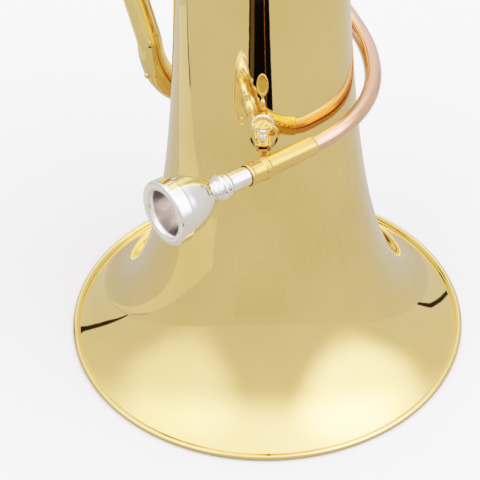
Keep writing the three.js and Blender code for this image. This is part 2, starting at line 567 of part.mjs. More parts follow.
function lyreHolder() {
  const angle = degrees(12.3);
  const footZ = 224.5;
  const out = vec(-Math.sin(angle), -Math.cos(angle), 0);
  const onBell = (z) => out.clone().multiplyScalar(bellRadius(z)).setZ(z);
  const foot = turned([[0, -6], [1, -6], [1, 0.9], [0.4, 1.8], [0, 1.8]], 12).scale(4.9, 19, 1)
    .applyMatrix4(new THREE.Matrix4().makeBasis(UP.clone().cross(out), UP, out).setPosition(onBell(footZ)));
  const arm = new THREE.CatmullRomCurve3([
    onBell(236).addScaledVector(out, 0.6), vec(-11.2, -62, 234.5), vec(-8.9, -67, 227.7),
    vec(-7.3, -70, 222.6), vec(-5.2, -73.5, 215.5), vec(-4, -77.5, 208.5),
  ]);
  const armRod = new THREE.ExtrudeGeometry(new THREE.Shape(circle(1.9, 8)), {
    steps: 7, extrudePath: arm, bevelEnabled: false,
  });
  const bulb = turned([[0, -5], [1.8, -5], [2.8, -2], [2.8, 2], [1.8, 5], [0, 5]], 8);
  const socketBox = (size) => box(screwAt(SCREW.socket), size, AXES[0], screwFace.clone().negate(),
    screwDown.clone().negate());
  const socket = socketBox([9, 8, SCREW.socketHeight]);
  const lyreSlot = socketBox([5, 12, 2.4]);
  const screwHole = rod(screwAt(SCREW.ball), screwAt(SCREW.socket), SCREW.r + 0.5);
  return fused([
    foot, armRod, aim(bulb, arm.getPointAt(0.5), arm.getTangentAt(0.5)), socket,
  ], [lyreSlot, screwHole, bellSpace]);
}
add(horn, "lyre_holder", lyreHolder(), LACQUER);

function thumbScrew() {
  const half = SCREW.thickness / 2;
  const coin = turned([[0, -half], [SCREW.coin, -half], [SCREW.coin, half], [0, half]], 20);
  const ball = 2.7;
  const shank = turned([
    [0, 0], [1.6, 0], [1.6, SCREW.ball - ball], [ball, SCREW.ball - 1], [ball, SCREW.ball + 1],
    [SCREW.r, SCREW.ball + ball], [SCREW.r, SCREW.end], [0, SCREW.end],
  ], 10);
  return fused([aim(coin, screwAt(0), screwFace), aim(shank, screwAt(0), screwDown)]);
}
add(horn, "lyre_thumb_screw", thumbScrew(), SILVER);

// ---------------------------------------------------------------- thumb ring and finger hook
function thumbRing() {
  const radius = 12.4;
  const away = toWorld(vec(0, -1, 0)).sub(bank.position);
  const z = 306;
  const centre = valveWorld(0, z).addScaledVector(away, VALVE.r + radius + 3.1);
  const ring = new THREE.TorusGeometry(radius, 1.9, 6, 14).translate(centre.x, centre.y, centre.z);
  const foot = rod(valveWorld(0, z).addScaledVector(away, VALVE.r - 1),
    centre.clone().addScaledVector(away, -radius), 3.2);
  return fused([ring, foot], [casingSpace(0)]);
}
add(horn, "thumb_ring", thumbRing(), LACQUER);

function fingerHook() {
  const last = VALVE.count - 1;
  const away = toWorld(NEXT_VALVE).sub(bank.position);
  const at = (distance, drop) => valveWorld(last, 302 - drop).addScaledVector(away, distance);
  const path = new THREE.CatmullRomCurve3(
    [at(12, 0), at(20, 0), at(30, 3), at(37, 12), at(35, 23), at(27, 29)]);
  const section = new THREE.Shape().absellipse(0, 0, 2, 4, 0, 2 * Math.PI);
  const hook = new THREE.ExtrudeGeometry(section, {
    steps: 9, extrudePath: path, bevelEnabled: false, curveSegments: 3,
  });
  return fused([hook], [casingSpace(last)]);
}
add(horn, "finger_hook", fingerHook(), LACQUER);

// ---------------------------------------------------------------- origin under the middle of the footprint
const footprint = new THREE.Box3().setFromObject(horn, true);
horn.position.set(
  -(footprint.min.x + footprint.max.x) / 2, -(footprint.min.y + footprint.max.y) / 2, -footprint.min.z);

export default horn;
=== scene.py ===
import math

import bmesh
import bpy
import numpy as np
from mathutils import Matrix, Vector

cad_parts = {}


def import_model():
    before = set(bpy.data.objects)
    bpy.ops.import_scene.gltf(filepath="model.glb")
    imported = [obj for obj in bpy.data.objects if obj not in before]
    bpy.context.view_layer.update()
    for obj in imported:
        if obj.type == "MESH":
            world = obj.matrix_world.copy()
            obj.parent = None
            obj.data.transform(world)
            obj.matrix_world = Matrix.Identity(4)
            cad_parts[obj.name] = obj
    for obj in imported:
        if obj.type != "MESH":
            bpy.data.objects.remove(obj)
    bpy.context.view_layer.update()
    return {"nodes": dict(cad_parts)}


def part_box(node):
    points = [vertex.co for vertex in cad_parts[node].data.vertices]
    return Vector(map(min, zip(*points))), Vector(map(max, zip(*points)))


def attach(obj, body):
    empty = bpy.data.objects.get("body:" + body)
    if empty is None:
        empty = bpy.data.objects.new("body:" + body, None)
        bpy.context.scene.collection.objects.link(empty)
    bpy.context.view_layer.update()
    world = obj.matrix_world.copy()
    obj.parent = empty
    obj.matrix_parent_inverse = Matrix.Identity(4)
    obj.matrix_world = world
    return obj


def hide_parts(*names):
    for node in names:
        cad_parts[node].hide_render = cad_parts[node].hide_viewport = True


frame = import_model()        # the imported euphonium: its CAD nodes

MM = 0.001
TAU = 2 * math.pi


# ---- places, in mm about the bell's axis
def vec(*numbers):
    return np.array(numbers, float)


def unit(v):
    v = np.asarray(v, float)
    return v / np.linalg.norm(v)


def at_height(point, z):
    return vec(point[0], point[1], z)


UP = vec(0, 0, 1)
_low, _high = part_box("bell")
AXIS = vec((_low.x + _high.x) / 2, (_low.y + _high.y) / 2, 0)    # the bell's axis in the row frame, metres


def horn(point):
    """A point of the row frame in metres, as mm about the bell's axis."""
    return (np.array(point, float) - AXIS) / MM


def box_of(node):
    low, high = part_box(node)
    return horn(low), horn(high)


def corners(node):
    """The separate vertices of a CAD node, and which of them each edge joins."""
    mesh = frame["nodes"][node].data
    places = np.array([v.co for v in mesh.vertices], float)
    keys, which = np.unique(np.round(places * 1e6).astype(np.int64), axis=0, return_inverse=True)
    which = which.reshape(-1)
    edges = {tuple(sorted((which[e.vertices[0]], which[e.vertices[1]]))) for e in mesh.edges}
    return np.array([horn(k * 1e-6) for k in keys]), [e for e in edges if e[0] != e[1]]


def rings(node, near, sides):
    """Centres and outer radii of a CAD tube's rings, walked from the open end whose middle is `near`."""
    points, edges = corners(node)
    beside = [[] for _ in points]
    for a, b in edges:
        beside[a].append(b)
        beside[b].append(a)
    level = list(np.argsort(np.linalg.norm(points - near, axis=1))[:2 * sides])
    seen = set(level)
    found = []
    while level:
        ring = points[level]
        centre = ring.mean(axis=0)
        if len(level) == 2 * sides:
            found.append((centre, np.linalg.norm(ring - centre, axis=1).max()))
        level = sorted({b for a in level for b in beside[a]} - seen)
        seen.update(level)
    return np.array([f[0] for f in found]), np.array([f[1] for f in found])


def feet(node):
    """The middles of the two open lower ends of a CAD slide."""
    points, _ = corners(node)
    low = points[points[:, 2] < points[:, 2].min() + 0.05]
    first = low[np.argmax(np.linalg.norm(low - low.mean(axis=0), axis=1))]
    mine = np.linalg.norm(low - first, axis=1) < 20
    return low[mine].mean(axis=0), low[~mine].mean(axis=0)


def middle(node):
    """The mean of a CAD node's vertices, which lies on the axis of a turned one."""
    return corners(node)[0].mean(axis=0)


def mid_height(node):
    low, high = box_of(node)
    return (low[2] + high[2]) / 2


def azimuth_of(way):
    return math.atan2(way[1], way[0])


def level_way(a, b):
    """The direction from a to b, without its rise."""
    return unit((b - a) * vec(1, 1, 0))


# ---- shells: vertices in mm, and faces
def grid(points, wrap_rows=False):
    """Quads over rows x columns of points. Each row closes on itself."""
    rows, columns = points.shape[:2]
    down = rows if wrap_rows else rows - 1
    r, c = np.meshgrid(np.arange(down), np.arange(columns), indexing="ij")
    r2, c2 = (r + 1) % rows, (c + 1) % columns
    faces = np.stack([r * columns + c, r * columns + c2, r2 * columns + c2, r2 * columns + c], axis=-1)
    return points.reshape(-1, 3), faces.reshape(-1, 4).tolist()


def join(*shells):
    points, faces, base = [], [], 0
    for p, f in shells:
        points.append(p)
        faces += [[i + base for i in face] for face in f]
        base += len(p)
    return np.vstack(points), faces


def basis(along):
    """Two directions square to `along`, and `along` itself."""
    z = unit(along)
    hint = vec(1, 0, 0) if abs(z[2]) > 0.9 else UP
    x = unit(hint - z * np.dot(hint, z))
    return x, np.cross(z, x), z


def rounded(outline, radius, steps=4):
    """An outline of [r, z] pairs with its corners rounded. A third number is the corner's own radius."""
    points = [vec(*p[:2]) for p in outline]
    radii = [p[2] if len(p) > 2 else radius for p in outline]
    closed = points[0][0] > 1e-6
    made = []
    count = len(points)
    for i, p in enumerate(points):
        if not closed and i in (0, count - 1):
            made.append(p)
            continue
        before, after = points[i - 1] - p, points[(i + 1) % count] - p
        a = min(radii[i], 0.45 * np.linalg.norm(before))
        b = min(radii[i], 0.45 * np.linalg.norm(after))
        start, end = p + unit(before) * a, p + unit(after) * b
        for k in range(steps + 1):
            t = k / steps
            made.append((1 - t) ** 2 * start + 2 * t * (1 - t) * p + t * t * end)
    return np.array(made)


def lathe(outline, sides=64, at=(0, 0, 0), along=UP, shape=None):
    """A round shell from [r, z] pairs, which run from axis to axis or close on themselves."""
    outline = np.array(outline, float)
    x, y, z = basis(along)
    angle = np.arange(sides) * TAU / sides
    radius = np.repeat(outline[:, :1], sides, axis=1)
    height = np.repeat(outline[:, 1:2], sides, axis=1)
    if shape:
        radius = shape(radius, height, angle[None, :])
    around = np.cos(angle)[:, None] * x + np.sin(angle)[:, None] * y
    points = np.array(at, float) + radius[..., None] * around + height[..., None] * z
    return grid(points, wrap_rows=outline[0, 0] > 1e-6)


def turned(outline, corner, sides=64, at=(0, 0, 0), along=UP):
    """A lathed shell with its outline's corners rounded."""
    return lathe(rounded(outline, corner), sides, at, along)


def frames(centres):
    """At each centre of a path, two directions square to it that don't twist."""
    step = np.diff(centres, axis=0)
    step /= np.linalg.norm(step, axis=1)[:, None]
    tangents = np.vstack([step[:1], step[:-1] + step[1:], step[-1:]])
    side = basis(tangents[0])[0]
    found = []
    for t in tangents:
        t = unit(t)
        side = unit(side - t * np.dot(side, t))
        found.append((side, np.cross(t, side)))
    return found


def tube(centres, radii, sides=40, wall=None):
    """A shell along a path: hollow with a wall, or solid with closed ends."""
    centres = np.array(centres, float)
    radii = np.broadcast_to(np.asarray(radii, float), (len(centres),))
    angle = np.arange(sides) * TAU / sides
    across = np.array([np.cos(angle)[:, None] * s + np.sin(angle)[:, None] * o for s, o in frames(centres)])
    outer = centres[:, None, :] + radii[:, None, None] * across
    if wall:
        inner = centres[:, None, :] + (radii - wall)[:, None, None] * across
        return grid(np.concatenate([outer, inner[::-1]]), wrap_rows=True)
    ends = [np.repeat(c[None, None, :], sides, axis=1) for c in (centres[0], centres[-1])]
    return grid(np.concatenate([ends[0], outer, ends[1]]))


def flowing(centres, radii=None, step=3.0):
    """A smooth path through a CAD tube's centres. A step much longer than its neighbours is straight."""
    p = np.array(centres, float)
    gap = np.diff(p, axis=0)
    length = np.linalg.norm(gap, axis=1)
    way = gap / length[:, None]
    tangents = []
    for i in range(len(p)):
        if i == 0 or i == len(p) - 1:
            tangents.append(None)
            continue
        a, b = length[i - 1], length[i]
        if a > 1.7 * b:
            tangents.append(way[i - 1])
        elif b > 1.7 * a:
            tangents.append(way[i])
        else:
            tangents.append(unit((way[i - 1] * b + way[i] * a) / (a + b)))
    # An end follows the mirror image of its neighbour's turn.
    tangents[0] = unit(2 * np.dot(tangents[1], way[0]) * way[0] - tangents[1])
    tangents[-1] = unit(2 * np.dot(tangents[-2], way[-1]) * way[-1] - tangents[-2])
    path, sizes = [p[0]], [0.0]
    for i, reach in enumerate(length):
        pieces = max(1, int(round(reach / step)))
        for k in range(1, pieces + 1):
            t = k / pieces
            h = (2 * t ** 3 - 3 * t * t + 1, t ** 3 - 2 * t * t + t,
                 -2 * t ** 3 + 3 * t * t, t ** 3 - t * t)
            path.append(h[0] * p[i] + h[1] * reach * tangents[i] + h[2] * p[i + 1]
                        + h[3] * reach * tangents[i + 1])
            sizes.append(i + t)
    if radii is None:
        return np.array(path)
    return np.array(path), np.interp(sizes, np.arange(len(p)), radii)


def arc(start, heading, towards, radius, angle, steps):
    """Centres along an arc, without its start."""
    centre = start + radius * towards
    return [centre + radius * (math.sin(a) * heading - math.cos(a) * towards)
            for a in np.radians(angle) * np.arange(1, steps + 1) / steps]


def spaced(points, step=4.0):
    """The same straight-edged path with more points on its long edges."""
    made = [points[0]]
    for a, b in zip(points[:-1], points[1:]):
        pieces = max(1, int(round(np.linalg.norm(b - a) / step)))
        made += [a + (b - a) * k / pieces for k in range(1, pieces + 1)]
    return np.array(made)


def block(centre, size, axes, bevel):
    """A box with rounded edges."""
    bm = bmesh.new()
    bmesh.ops.create_cube(bm, size=1.0)
    for v in bm.verts:
        v.co = [c * s for c, s in zip(v.co, size)]
    bmesh.ops.bevel(bm, geom=bm.edges[:], offset=bevel, segments=3, profile=0.5, affect="EDGES")
    bm.verts.index_update()
    turn = np.array([unit(a) for a in axes])
    points = np.array([np.array(v.co) @ turn + centre for v in bm.verts])
    faces = [[v.index for v in f.verts] for f in bm.faces]
    bm.free()
    return points, faces


def patch(place, outline, heights, under=-0.5, spokes=72):
    """A plate that follows a surface. place(a, b) gives a point and its normal, outline(angle) the edge as
    (a, b), and heights the plate's [share of the way out, height] pairs."""
    angle = np.arange(spokes) * TAU / spokes
    edge = np.array([outline(t) for t in angle])
    rows = [(share, height) for share, height in heights] + [(share, under) for share, _ in heights[::-1]]
    points = []
    for share, height in rows:
        found = [place(*(share * e)) for e in edge]
        points.append([point + height * normal for point, normal in found])
    return grid(np.array(points))


def on_round(centre, radius_at, azimuth, z0):
    """place() for a round upright surface, about the point at an azimuth and a height."""
    r0 = radius_at(z0)

    def place(a, b):
        slope = (radius_at(z0 + 0.1) - radius_at(z0 - 0.1)) / 0.2
        z = z0 + b / math.hypot(1, slope)
        slope = (radius_at(z + 0.1) - radius_at(z - 0.1)) / 0.2
        t = azimuth + a / r0
        r = radius_at(z)
        return (vec(centre[0] + r * math.cos(t), centre[1] + r * math.sin(t), z),
                unit(vec(math.cos(t), math.sin(t), -slope)))
    return place


def ellipse(a, b):
    return lambda t: vec(a * math.cos(t), b * math.sin(t))


# ---- pieces
def piece(name, shell, material, body, nodes=(), sharp=38):
    """A visible piece: its mesh in the row frame, its finish, its body and the nodes it replaces."""
    points, faces = shell
    mesh = bpy.data.meshes.new(name)
    mesh.from_pydata((points * MM + AXIS).tolist(), [], faces)
    bm = bmesh.new()
    bm.from_mesh(mesh)
    bmesh.ops.remove_doubles(bm, verts=bm.verts, dist=2e-7)
    bmesh.ops.dissolve_degenerate(bm, edges=bm.edges, dist=1e-7)
    bmesh.ops.recalc_face_normals(bm, faces=bm.faces)
    bm.to_mesh(mesh)
    bm.free()
    mesh.shade_smooth()
    mesh.set_sharp_from_angle(angle=math.radians(sharp))
    mesh.materials.append(material)
    made = bpy.data.objects.new(name, mesh)
    bpy.context.scene.collection.objects.link(made)
    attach(made, body)
    if nodes:
        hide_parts(*nodes)
    return made


def form(node, shell, material, body="horn", sharp=38):
    """The visible form of a CAD node, which it replaces."""
    return piece(node + "_form", shell, material, body, [node], sharp)


# ---- finishes
class Nodes:
    """A material being wired, with short calls for the nodes that the finishes share."""

    def __init__(self, name):
        self.material = bpy.data.materials.new(name)
        self.material.use_nodes = True
        self.tree = self.material.node_tree
        self.shader = self.tree.nodes["Principled BSDF"]
        self.place = self.tree.nodes.new("ShaderNodeTexCoord").outputs["Object"]

    def node(self, kind, **values):
        made = self.tree.nodes.new(kind)
        for key, value in values.items():
            if key in made.inputs:
                made.inputs[key].default_value = value
            else:
                setattr(made, key, value)
        return made

    def link(self, a, b):
        self.tree.links.new(a, b)

    def noise(self, scale, detail=3.0, rough=0.55, stretch=None, distort=0.0):
        made = self.node("ShaderNodeTexNoise", Scale=scale, Detail=detail, Roughness=rough,
                         Distortion=distort)
        source = self.place
        if stretch:
            mapping = self.node("ShaderNodeMapping", Scale=stretch)
            self.link(source, mapping.inputs["Vector"])
            source = mapping.outputs["Vector"]
        self.link(source, made.inputs["Vector"])
        return made.outputs["Fac"]

    def ramp(self, source, *stops):
        """A colour ramp from (position, colour or number) stops."""
        made = self.node("ShaderNodeValToRGB")
        ramp = made.color_ramp
        while len(ramp.elements) < len(stops):
            ramp.elements.new(0.5)
        for element, (at, color) in zip(ramp.elements, stops):
            element.position = at
            element.color = (*color, 1) if hasattr(color, "__len__") else (color, color, color, 1)
        self.link(source, made.inputs["Fac"])
        return made.outputs["Color"]

    def math(self, operation, a, b):
        made = self.node("ShaderNodeMath", operation=operation)
        for socket, value in zip(made.inputs, (a, b)):
            if hasattr(value, "is_linked"):
                self.link(value, socket)
            else:
                socket.default_value = value
        return made.outputs[0]

    def bump(self, height, distance, strength=1.0, after=None):
        made = self.node("ShaderNodeBump", Distance=distance, Strength=strength)
        self.link(height, made.inputs["Height"])
        if after:
            self.link(after, made.inputs["Normal"])
        return made.outputs["Normal"]

    def set(self, **values):
        for key, value in values.items():
            socket = self.shader.inputs[key.replace("_", " ")]
            if hasattr(value, "is_linked"):
                self.link(value, socket)
            else:
                socket.default_value = value


def plate(name, pale, deep, rough, waves=0.0, coat=0.0, along=None, fine=9e-6):
    """Polished metal: a slow drift of colour, smears and polishing marks in its gloss, and faint waves."""
    n = Nodes(name)
    drift = n.noise(14, detail=2)
    smear = n.noise(55, detail=4, distort=0.6)
    marks = n.noise(900, detail=2, stretch=along or (1, 1, 0.12))
    n.set(Base_Color=n.ramp(drift, (0.32, deep), (0.68, pale)), Metallic=1.0)
    gloss = n.math("MULTIPLY_ADD", smear, rough * 0.8)
    gloss.node.inputs[2].default_value = rough * 0.45
    n.set(Roughness=n.math("ADD", gloss, n.math("MULTIPLY", marks, rough * 0.35)))
    normal = n.bump(marks, fine, 0.35)
    if waves:
        normal = n.bump(n.noise(26, detail=1.5), waves, 1.0, after=normal)
    n.set(Normal=normal)
    if coat:
        n.set(Coat_Weight=coat, Coat_Roughness=0.04, Coat_IOR=1.52)
    return n.material


BRASS = plate("lacquered_brass", (0.88, 0.655, 0.262), (0.81, 0.595, 0.212), 0.03, waves=6e-5, coat=1.0)
FITTING = plate("lacquered_fitting", (0.90, 0.63, 0.21), (0.82, 0.54, 0.15), 0.04, waves=1.5e-5, coat=1.0)
ROSE = plate("lacquered_rose_brass", (0.86, 0.52, 0.36), (0.80, 0.46, 0.29), 0.06, waves=2e-5, coat=1.0)
SILVER = plate("silver_plate", (0.93, 0.91, 0.88), (0.86, 0.84, 0.80), 0.06, waves=1e-5)
SATIN = plate("satin_silver_plate", (0.99, 0.945, 0.91), (0.95, 0.885, 0.85), 0.24)
NICKEL = plate("nickel_plate", (0.76, 0.74, 0.70), (0.66, 0.64, 0.60), 0.12)
STEEL = plate("lapped_steel", (0.66, 0.66, 0.67), (0.52, 0.52, 0.54), 0.22, along=(0.05, 0.05, 1))


def soft(name, pale, deep, scale, depth, sheen=0.0):
    """Felt or cork: mottled and matt, with a grain."""
    n = Nodes(name)
    grain = n.noise(scale, detail=5, rough=0.7)
    n.set(Base_Color=n.ramp(grain, (0.3, deep), (0.7, pale)), Metallic=0.0)
    n.set(Roughness=n.math("ADD", n.math("MULTIPLY", grain, 0.15), 0.8))
    n.set(Normal=n.bump(grain, depth, 0.7))
    if sheen:
        n.set(Sheen_Weight=sheen)
    return n.material


FELT = soft("red_felt", (0.30, 0.03, 0.03), (0.16, 0.012, 0.014), 2600, 2e-4, sheen=0.6)
CORK = soft("cork", (0.62, 0.43, 0.24), (0.30, 0.17, 0.08), 1400, 1.2e-4)


def pearl():
    """Mother-of-pearl: drifting layers of cream, pink and green under a clear gloss."""
    n = Nodes("mother_of_pearl")
    layers = n.noise(160, detail=4, distort=2.2)
    n.set(Base_Color=n.ramp(layers, (0.30, (0.78, 0.80, 0.76)), (0.45, (0.90, 0.87, 0.82)),
                            (0.58, (0.88, 0.78, 0.79)), (0.72, (0.72, 0.80, 0.80))))
    n.set(Roughness=n.ramp(layers, (0.3, 0.14), (0.7, 0.28)), Normal=n.bump(layers, 6e-5, 0.5))
    n.set(Coat_Weight=0.8, Coat_Roughness=0.05)
    return n.material


PEARL = pearl()

# ---- camera and studio
scene = bpy.context.scene
CAMERA = {"from": (0, -574.7, 534.5), "yaw": -1.853, "pitch": 38.983, "roll": -1.978, "lens": 75.0}


def camera():
    yaw, pitch, roll = (math.radians(CAMERA[k]) for k in ("yaw", "pitch", "roll"))
    forward = vec(math.sin(yaw) * math.cos(pitch), math.cos(yaw) * math.cos(pitch), -math.sin(pitch))
    right = vec(math.cos(yaw), -math.sin(yaw), 0)
    up = np.cross(right, forward)
    right, up = (math.cos(roll) * right + math.sin(roll) * up, math.cos(roll) * up - math.sin(roll) * right)
    data = bpy.data.cameras.new("camera")
    data.lens = CAMERA["lens"]
    data.sensor_width = 36.0
    data.clip_start, data.clip_end = 0.01, 60.0
    made = bpy.data.objects.new("camera", data)
    turn = Matrix([[*c] for c in np.stack([right, up, -forward], axis=1)]).to_4x4()
    turn.translation = vec(*CAMERA["from"]) * MM + AXIS
    made.matrix_world = turn
    scene.collection.objects.link(made)
    scene.camera = made


def towards(azimuth, elevation):
    """A direction. Azimuth 0 is the player's side, -Y, and 90 is +X."""
    a, e = math.radians(azimuth), math.radians(elevation)
    return vec(math.sin(a) * math.cos(e), -math.cos(a) * math.cos(e), math.sin(e))


# Soft glows of a light tent: azimuth, elevation, half width in degrees, strength.
GLOWS = [(64, 38, 41, 1.15), (-62, 34, 42, 0.62), (0, 89, 60, 0.95), (180, 40, 50, 0.2)]
# How bright the walls are, what the ceiling adds, and what a camera sees.
TENT, CEILING, AIR = 0.88, 0.10, 1.5
WALL_COLOR, GLOW_COLOR = (1.0, 0.985, 0.955, 1), (1.0, 1.04, 1.38, 1)


def world():
    """A white light tent with soft glows. A camera sees plain pale air."""
    made = bpy.data.worlds.new("tent")
    made.use_nodes = True
    scene.world = made
    tree = made.node_tree
    tree.nodes.clear()

    def node(kind, values=None, links=None, **settings):
        n = tree.nodes.new("ShaderNode" + kind)
        for key, value in settings.items():
            setattr(n, key, value)
        for key, value in (values or {}).items():
            n.inputs[key].default_value = value
        for key, source in (links or {}).items():
            tree.links.new(source, n.inputs[key])
        return n

    place = node("TexCoord").outputs["Generated"]
    total = None
    for azimuth, elevation, width, strength in GLOWS:
        dot = node("VectorMath", {1: towards(azimuth, elevation)}, {0: place}, operation="DOT_PRODUCT")
        edge = {"From Min": math.cos(math.radians(width)), "From Max": 1.0, "To Max": strength}
        glow = node("MapRange", edge, {"Value": dot.outputs["Value"]}, interpolation_type="SMOOTHERSTEP")
        glow = glow.outputs["Result"]
        if total is None:
            total = glow
        else:
            total = node("Math", None, {0: total, 1: glow}, operation="ADD").outputs[0]
    height = node("SeparateXYZ", None, {0: place}).outputs["Z"]
    rise = node("MapRange", {"From Min": 0.0, "From Max": 1.0, "To Min": TENT, "To Max": TENT + CEILING},
                {"Value": height}, interpolation_type="SMOOTHSTEP")
    walls = node("Background", {"Color": WALL_COLOR}, {"Strength": rise.outputs["Result"]})
    glows = node("Background", {"Color": GLOW_COLOR}, {"Strength": total})
    tent = node("AddShader", None, {0: walls.outputs[0], 1: glows.outputs[0]})
    air = node("Background", {"Color": (1, 1, 1, 1), "Strength": AIR})
    seen = node("LightPath").outputs["Is Camera Ray"]
    mix = node("MixShader", None, {"Fac": seen, 1: tent.outputs[0], 2: air.outputs[0]})
    node("OutputWorld", None, {"Surface": mix.outputs[0]})


def staged(name, points, material, seen=True):
    """A flat sheet of the studio. Unseen, it only shows in reflections."""
    mesh = bpy.data.meshes.new(name)
    mesh.from_pydata([tuple(np.array(p) * MM + AXIS) for p in points], [], [list(range(len(points)))])
    mesh.materials.append(material)
    made = bpy.data.objects.new(name, mesh)
    scene.collection.objects.link(made)
    if not seen:
        made.visible_camera = made.visible_diffuse = made.visible_shadow = False


def paper():
    n = Nodes("pale_floor")
    fibre = n.noise(40, detail=6)
    # Seen directly it is white paper; in reflections it is as dim as the tent's walls.
    seen = n.node("ShaderNodeMix", data_type="RGBA")
    n.link(n.node("ShaderNodeLightPath").outputs["Is Camera Ray"], seen.inputs["Factor"])
    n.link(n.ramp(fibre, (0.3, (0.475, 0.45, 0.375)), (0.7, (0.505, 0.48, 0.40))), seen.inputs[6])
    n.link(n.ramp(fibre, (0.3, (0.99, 0.98, 0.905)), (0.7, (1.0, 0.99, 0.92))), seen.inputs[7])
    n.set(Base_Color=seen.outputs[2])
    n.set(Roughness=0.8, Specular_IOR_Level=0.2)
    return n.material


def dark(name, color):
    n = Nodes(name)
    n.set(Base_Color=n.ramp(n.noise(30), (0.3, color), (0.7, tuple(c * 1.4 for c in color))), Roughness=1.0)
    n.set(Specular_IOR_Level=0.0)
    return n.material


def card(name, color, strength):
    """An evenly bright card that only shows in reflections."""
    n = Nodes(name)
    n.set(Base_Color=(0, 0, 0, 1), Specular_IOR_Level=0.0, Emission_Strength=strength)
    n.set(Emission_Color=n.ramp(n.noise(30), (0.3, tuple(0.98 * c for c in color)), (0.7, color)))
    return n.material


# A brighter card on the floor left of the horn. Each edge starts at its first point, bends towards its
# second and ends at its third, the tip.
CARD = {"outer": [(-700, 240), (-530, 110), (-320, -300)], "inner": [(-520, 420), (-260, 60), (-320, -300)]}
# The fine dark line along the first of the outer edge's steps.
CARD_LINE = {"steps": 8, "wide": (-16, -5)}


def bent(start, middle, end, steps=16):
    """Points along a curve from start to end that bends towards a middle point."""
    a, b, c = vec(*start), vec(*middle), vec(*end)
    return [tuple((1 - t) ** 2 * a + 2 * t * (1 - t) * b + t * t * c) for t in np.linspace(0, 1, steps)]


FLOOR_RADIUS = 9000
# The tent's opening in front of the horn, with a thin edge, a curtain and a lit sill. Each sheet is its
# outline, its height over the floor, and its colour.
OPENING = {
    "tent_opening": ([(-190, -560), (112, -560), (152, -1000), (-262, -1000)], 2, (0.002, 0.0015, 0.001)),
    "opening_edge": ([(34, -560), (39, -560), (52, -1000), (44, -1000)], 4, (0.34, 0.10, 0.02)),
    "opening_curtain": ([(-170, -560), (-122, -560), (-150, -1000), (-225, -1000)], 3, (0.075, 0.045, 0.012)),
}
SILL = [(-240, -500, 0), (150, -500, 0), (150, -500, 46), (-240, -500, 46)]
# The tent's two seams behind the horn, as azimuths and elevations from a point in the bell.
SEAMS = {"left_seam": [(-110, -9), (-121, 4), (-127, 14), (-136, 24), (-127, 31), (-126.5, 17), (-118, 4)],
         "right_seam": [(121, -9), (127, 3), (141, 10), (142, 9), (129, 1), (122.5, -9)]}
SEAM_FROM, SEAM_DISTANCE = vec(0, 0, 120), 1500


def level(points, z):
    return [(x, y, z) for x, y in points]


def studio():
    """The floor, and what shows only as reflections: the opening, the card on the left and the seams."""
    ring = [FLOOR_RADIUS * vec(math.cos(t), math.sin(t), 0) for t in np.arange(48) * TAU / 48]
    staged("floor", ring, paper())
    for name, (outline, z, color) in OPENING.items():
        staged(name, level(outline, z), dark(name, color), seen=False)
    staged("opening_sill", SILL, card("sill", (1.0, 0.96, 0.86), 0.8), seen=False)
    edge = bent(*CARD["outer"])
    sheet = edge + bent(*CARD["inner"])[-2::-1]
    staged("left_card", level(sheet, 3), card("left_card", (1.0, 0.96, 0.87), 0.95), seen=False)
    line = edge[:CARD_LINE["steps"]]
    line += [(x + CARD_LINE["wide"][0], y + CARD_LINE["wide"][1]) for x, y in line[::-1]]
    staged("left_line", level(line, 5), dark("left_line", (0.05, 0.035, 0.015)), seen=False)
    for name, seam in SEAMS.items():
        outline = [SEAM_FROM + SEAM_DISTANCE * towards(*direction) for direction in seam]
        staged(name, outline, dark(name, (0.03, 0.018, 0.006)), seen=False)


camera()
world()
studio()
scene.view_settings.view_transform = "Standard"
# The exposure curve: highlights roll off softly, as on film, up to WHITE times paper white.
WHITE = 2.4
SHOULDER = [(0.1, 0.1), (0.3, 0.3), (0.5, 0.475), (0.69, 0.60), (0.855, 0.70), (1.0, 0.762), (1.14, 0.81),
            (1.25, 0.85), (1.41, 0.893), (1.6, 0.935), (2.0, 0.98)]


def exposure():
    scene.view_settings.use_curve_mapping = True
    mapping = scene.view_settings.curve_mapping
    mapping.white_level = (WHITE, WHITE, WHITE)
    for bright, shown in SHOULDER:
        mapping.curves[3].points.new(bright / WHITE, shown)
    mapping.update()


exposure()

# ---- bell
bell_low, bell_high = box_of("bell")
BELL = {"rim": (bell_high[0] - bell_low[0]) / 2, "curl": 26, "flare": 0.42, "top": bell_high[2],
        "wall": 0.6, "bead": 2.2}


def bell_radius(z):
    return BELL["rim"] * ((max(z, 0) + BELL["curl"]) / BELL["curl"]) ** -BELL["flare"]


def bell():
    """The flared sheet with its rim rolled over a wire."""
    wire = BELL["bead"]
    middle_r = BELL["rim"] - wire
    crowd = 12      # how evenly the rows stand: the smaller, the closer together at the rim
    heights = np.geomspace(1.95 + crowd, BELL["top"] + crowd, 130) - crowd
    outer = [(bell_radius(z), z) for z in heights[::-1]]
    roll = [(middle_r + wire * math.cos(a), wire + wire * math.sin(a))
            for a in np.radians(np.arange(176, -118, -7))]
    inner = []
    for z in heights:
        slope = -BELL["flare"] * bell_radius(z) / (z + BELL["curl"])
        n = unit(vec(1, -slope))
        inner.append((bell_radius(z) - BELL["wall"] * n[0], min(z - BELL["wall"] * n[1], BELL["top"])))
    inner[-1] = (inner[-1][0], BELL["top"])
    form("bell", lathe(outer + roll + inner, sides=256), BRASS)


def ring_outline(radius, height, thick=1.2, bead=0.75):
    """A sleeve with a rounded bead at each end."""
    inner, outer, crest = radius + 0.05, radius + thick, radius + thick + bead
    return rounded([(inner, 0), (crest, 0), (crest, 2.4), (outer, 3.0), (outer, height - 3.0),
                    (crest, height - 2.4), (crest, height), (inner, height)], 0.7)


def ferrule(node, at, along, radius, height):
    form(node, lathe(ring_outline(radius, height), 96, at, along), FITTING)


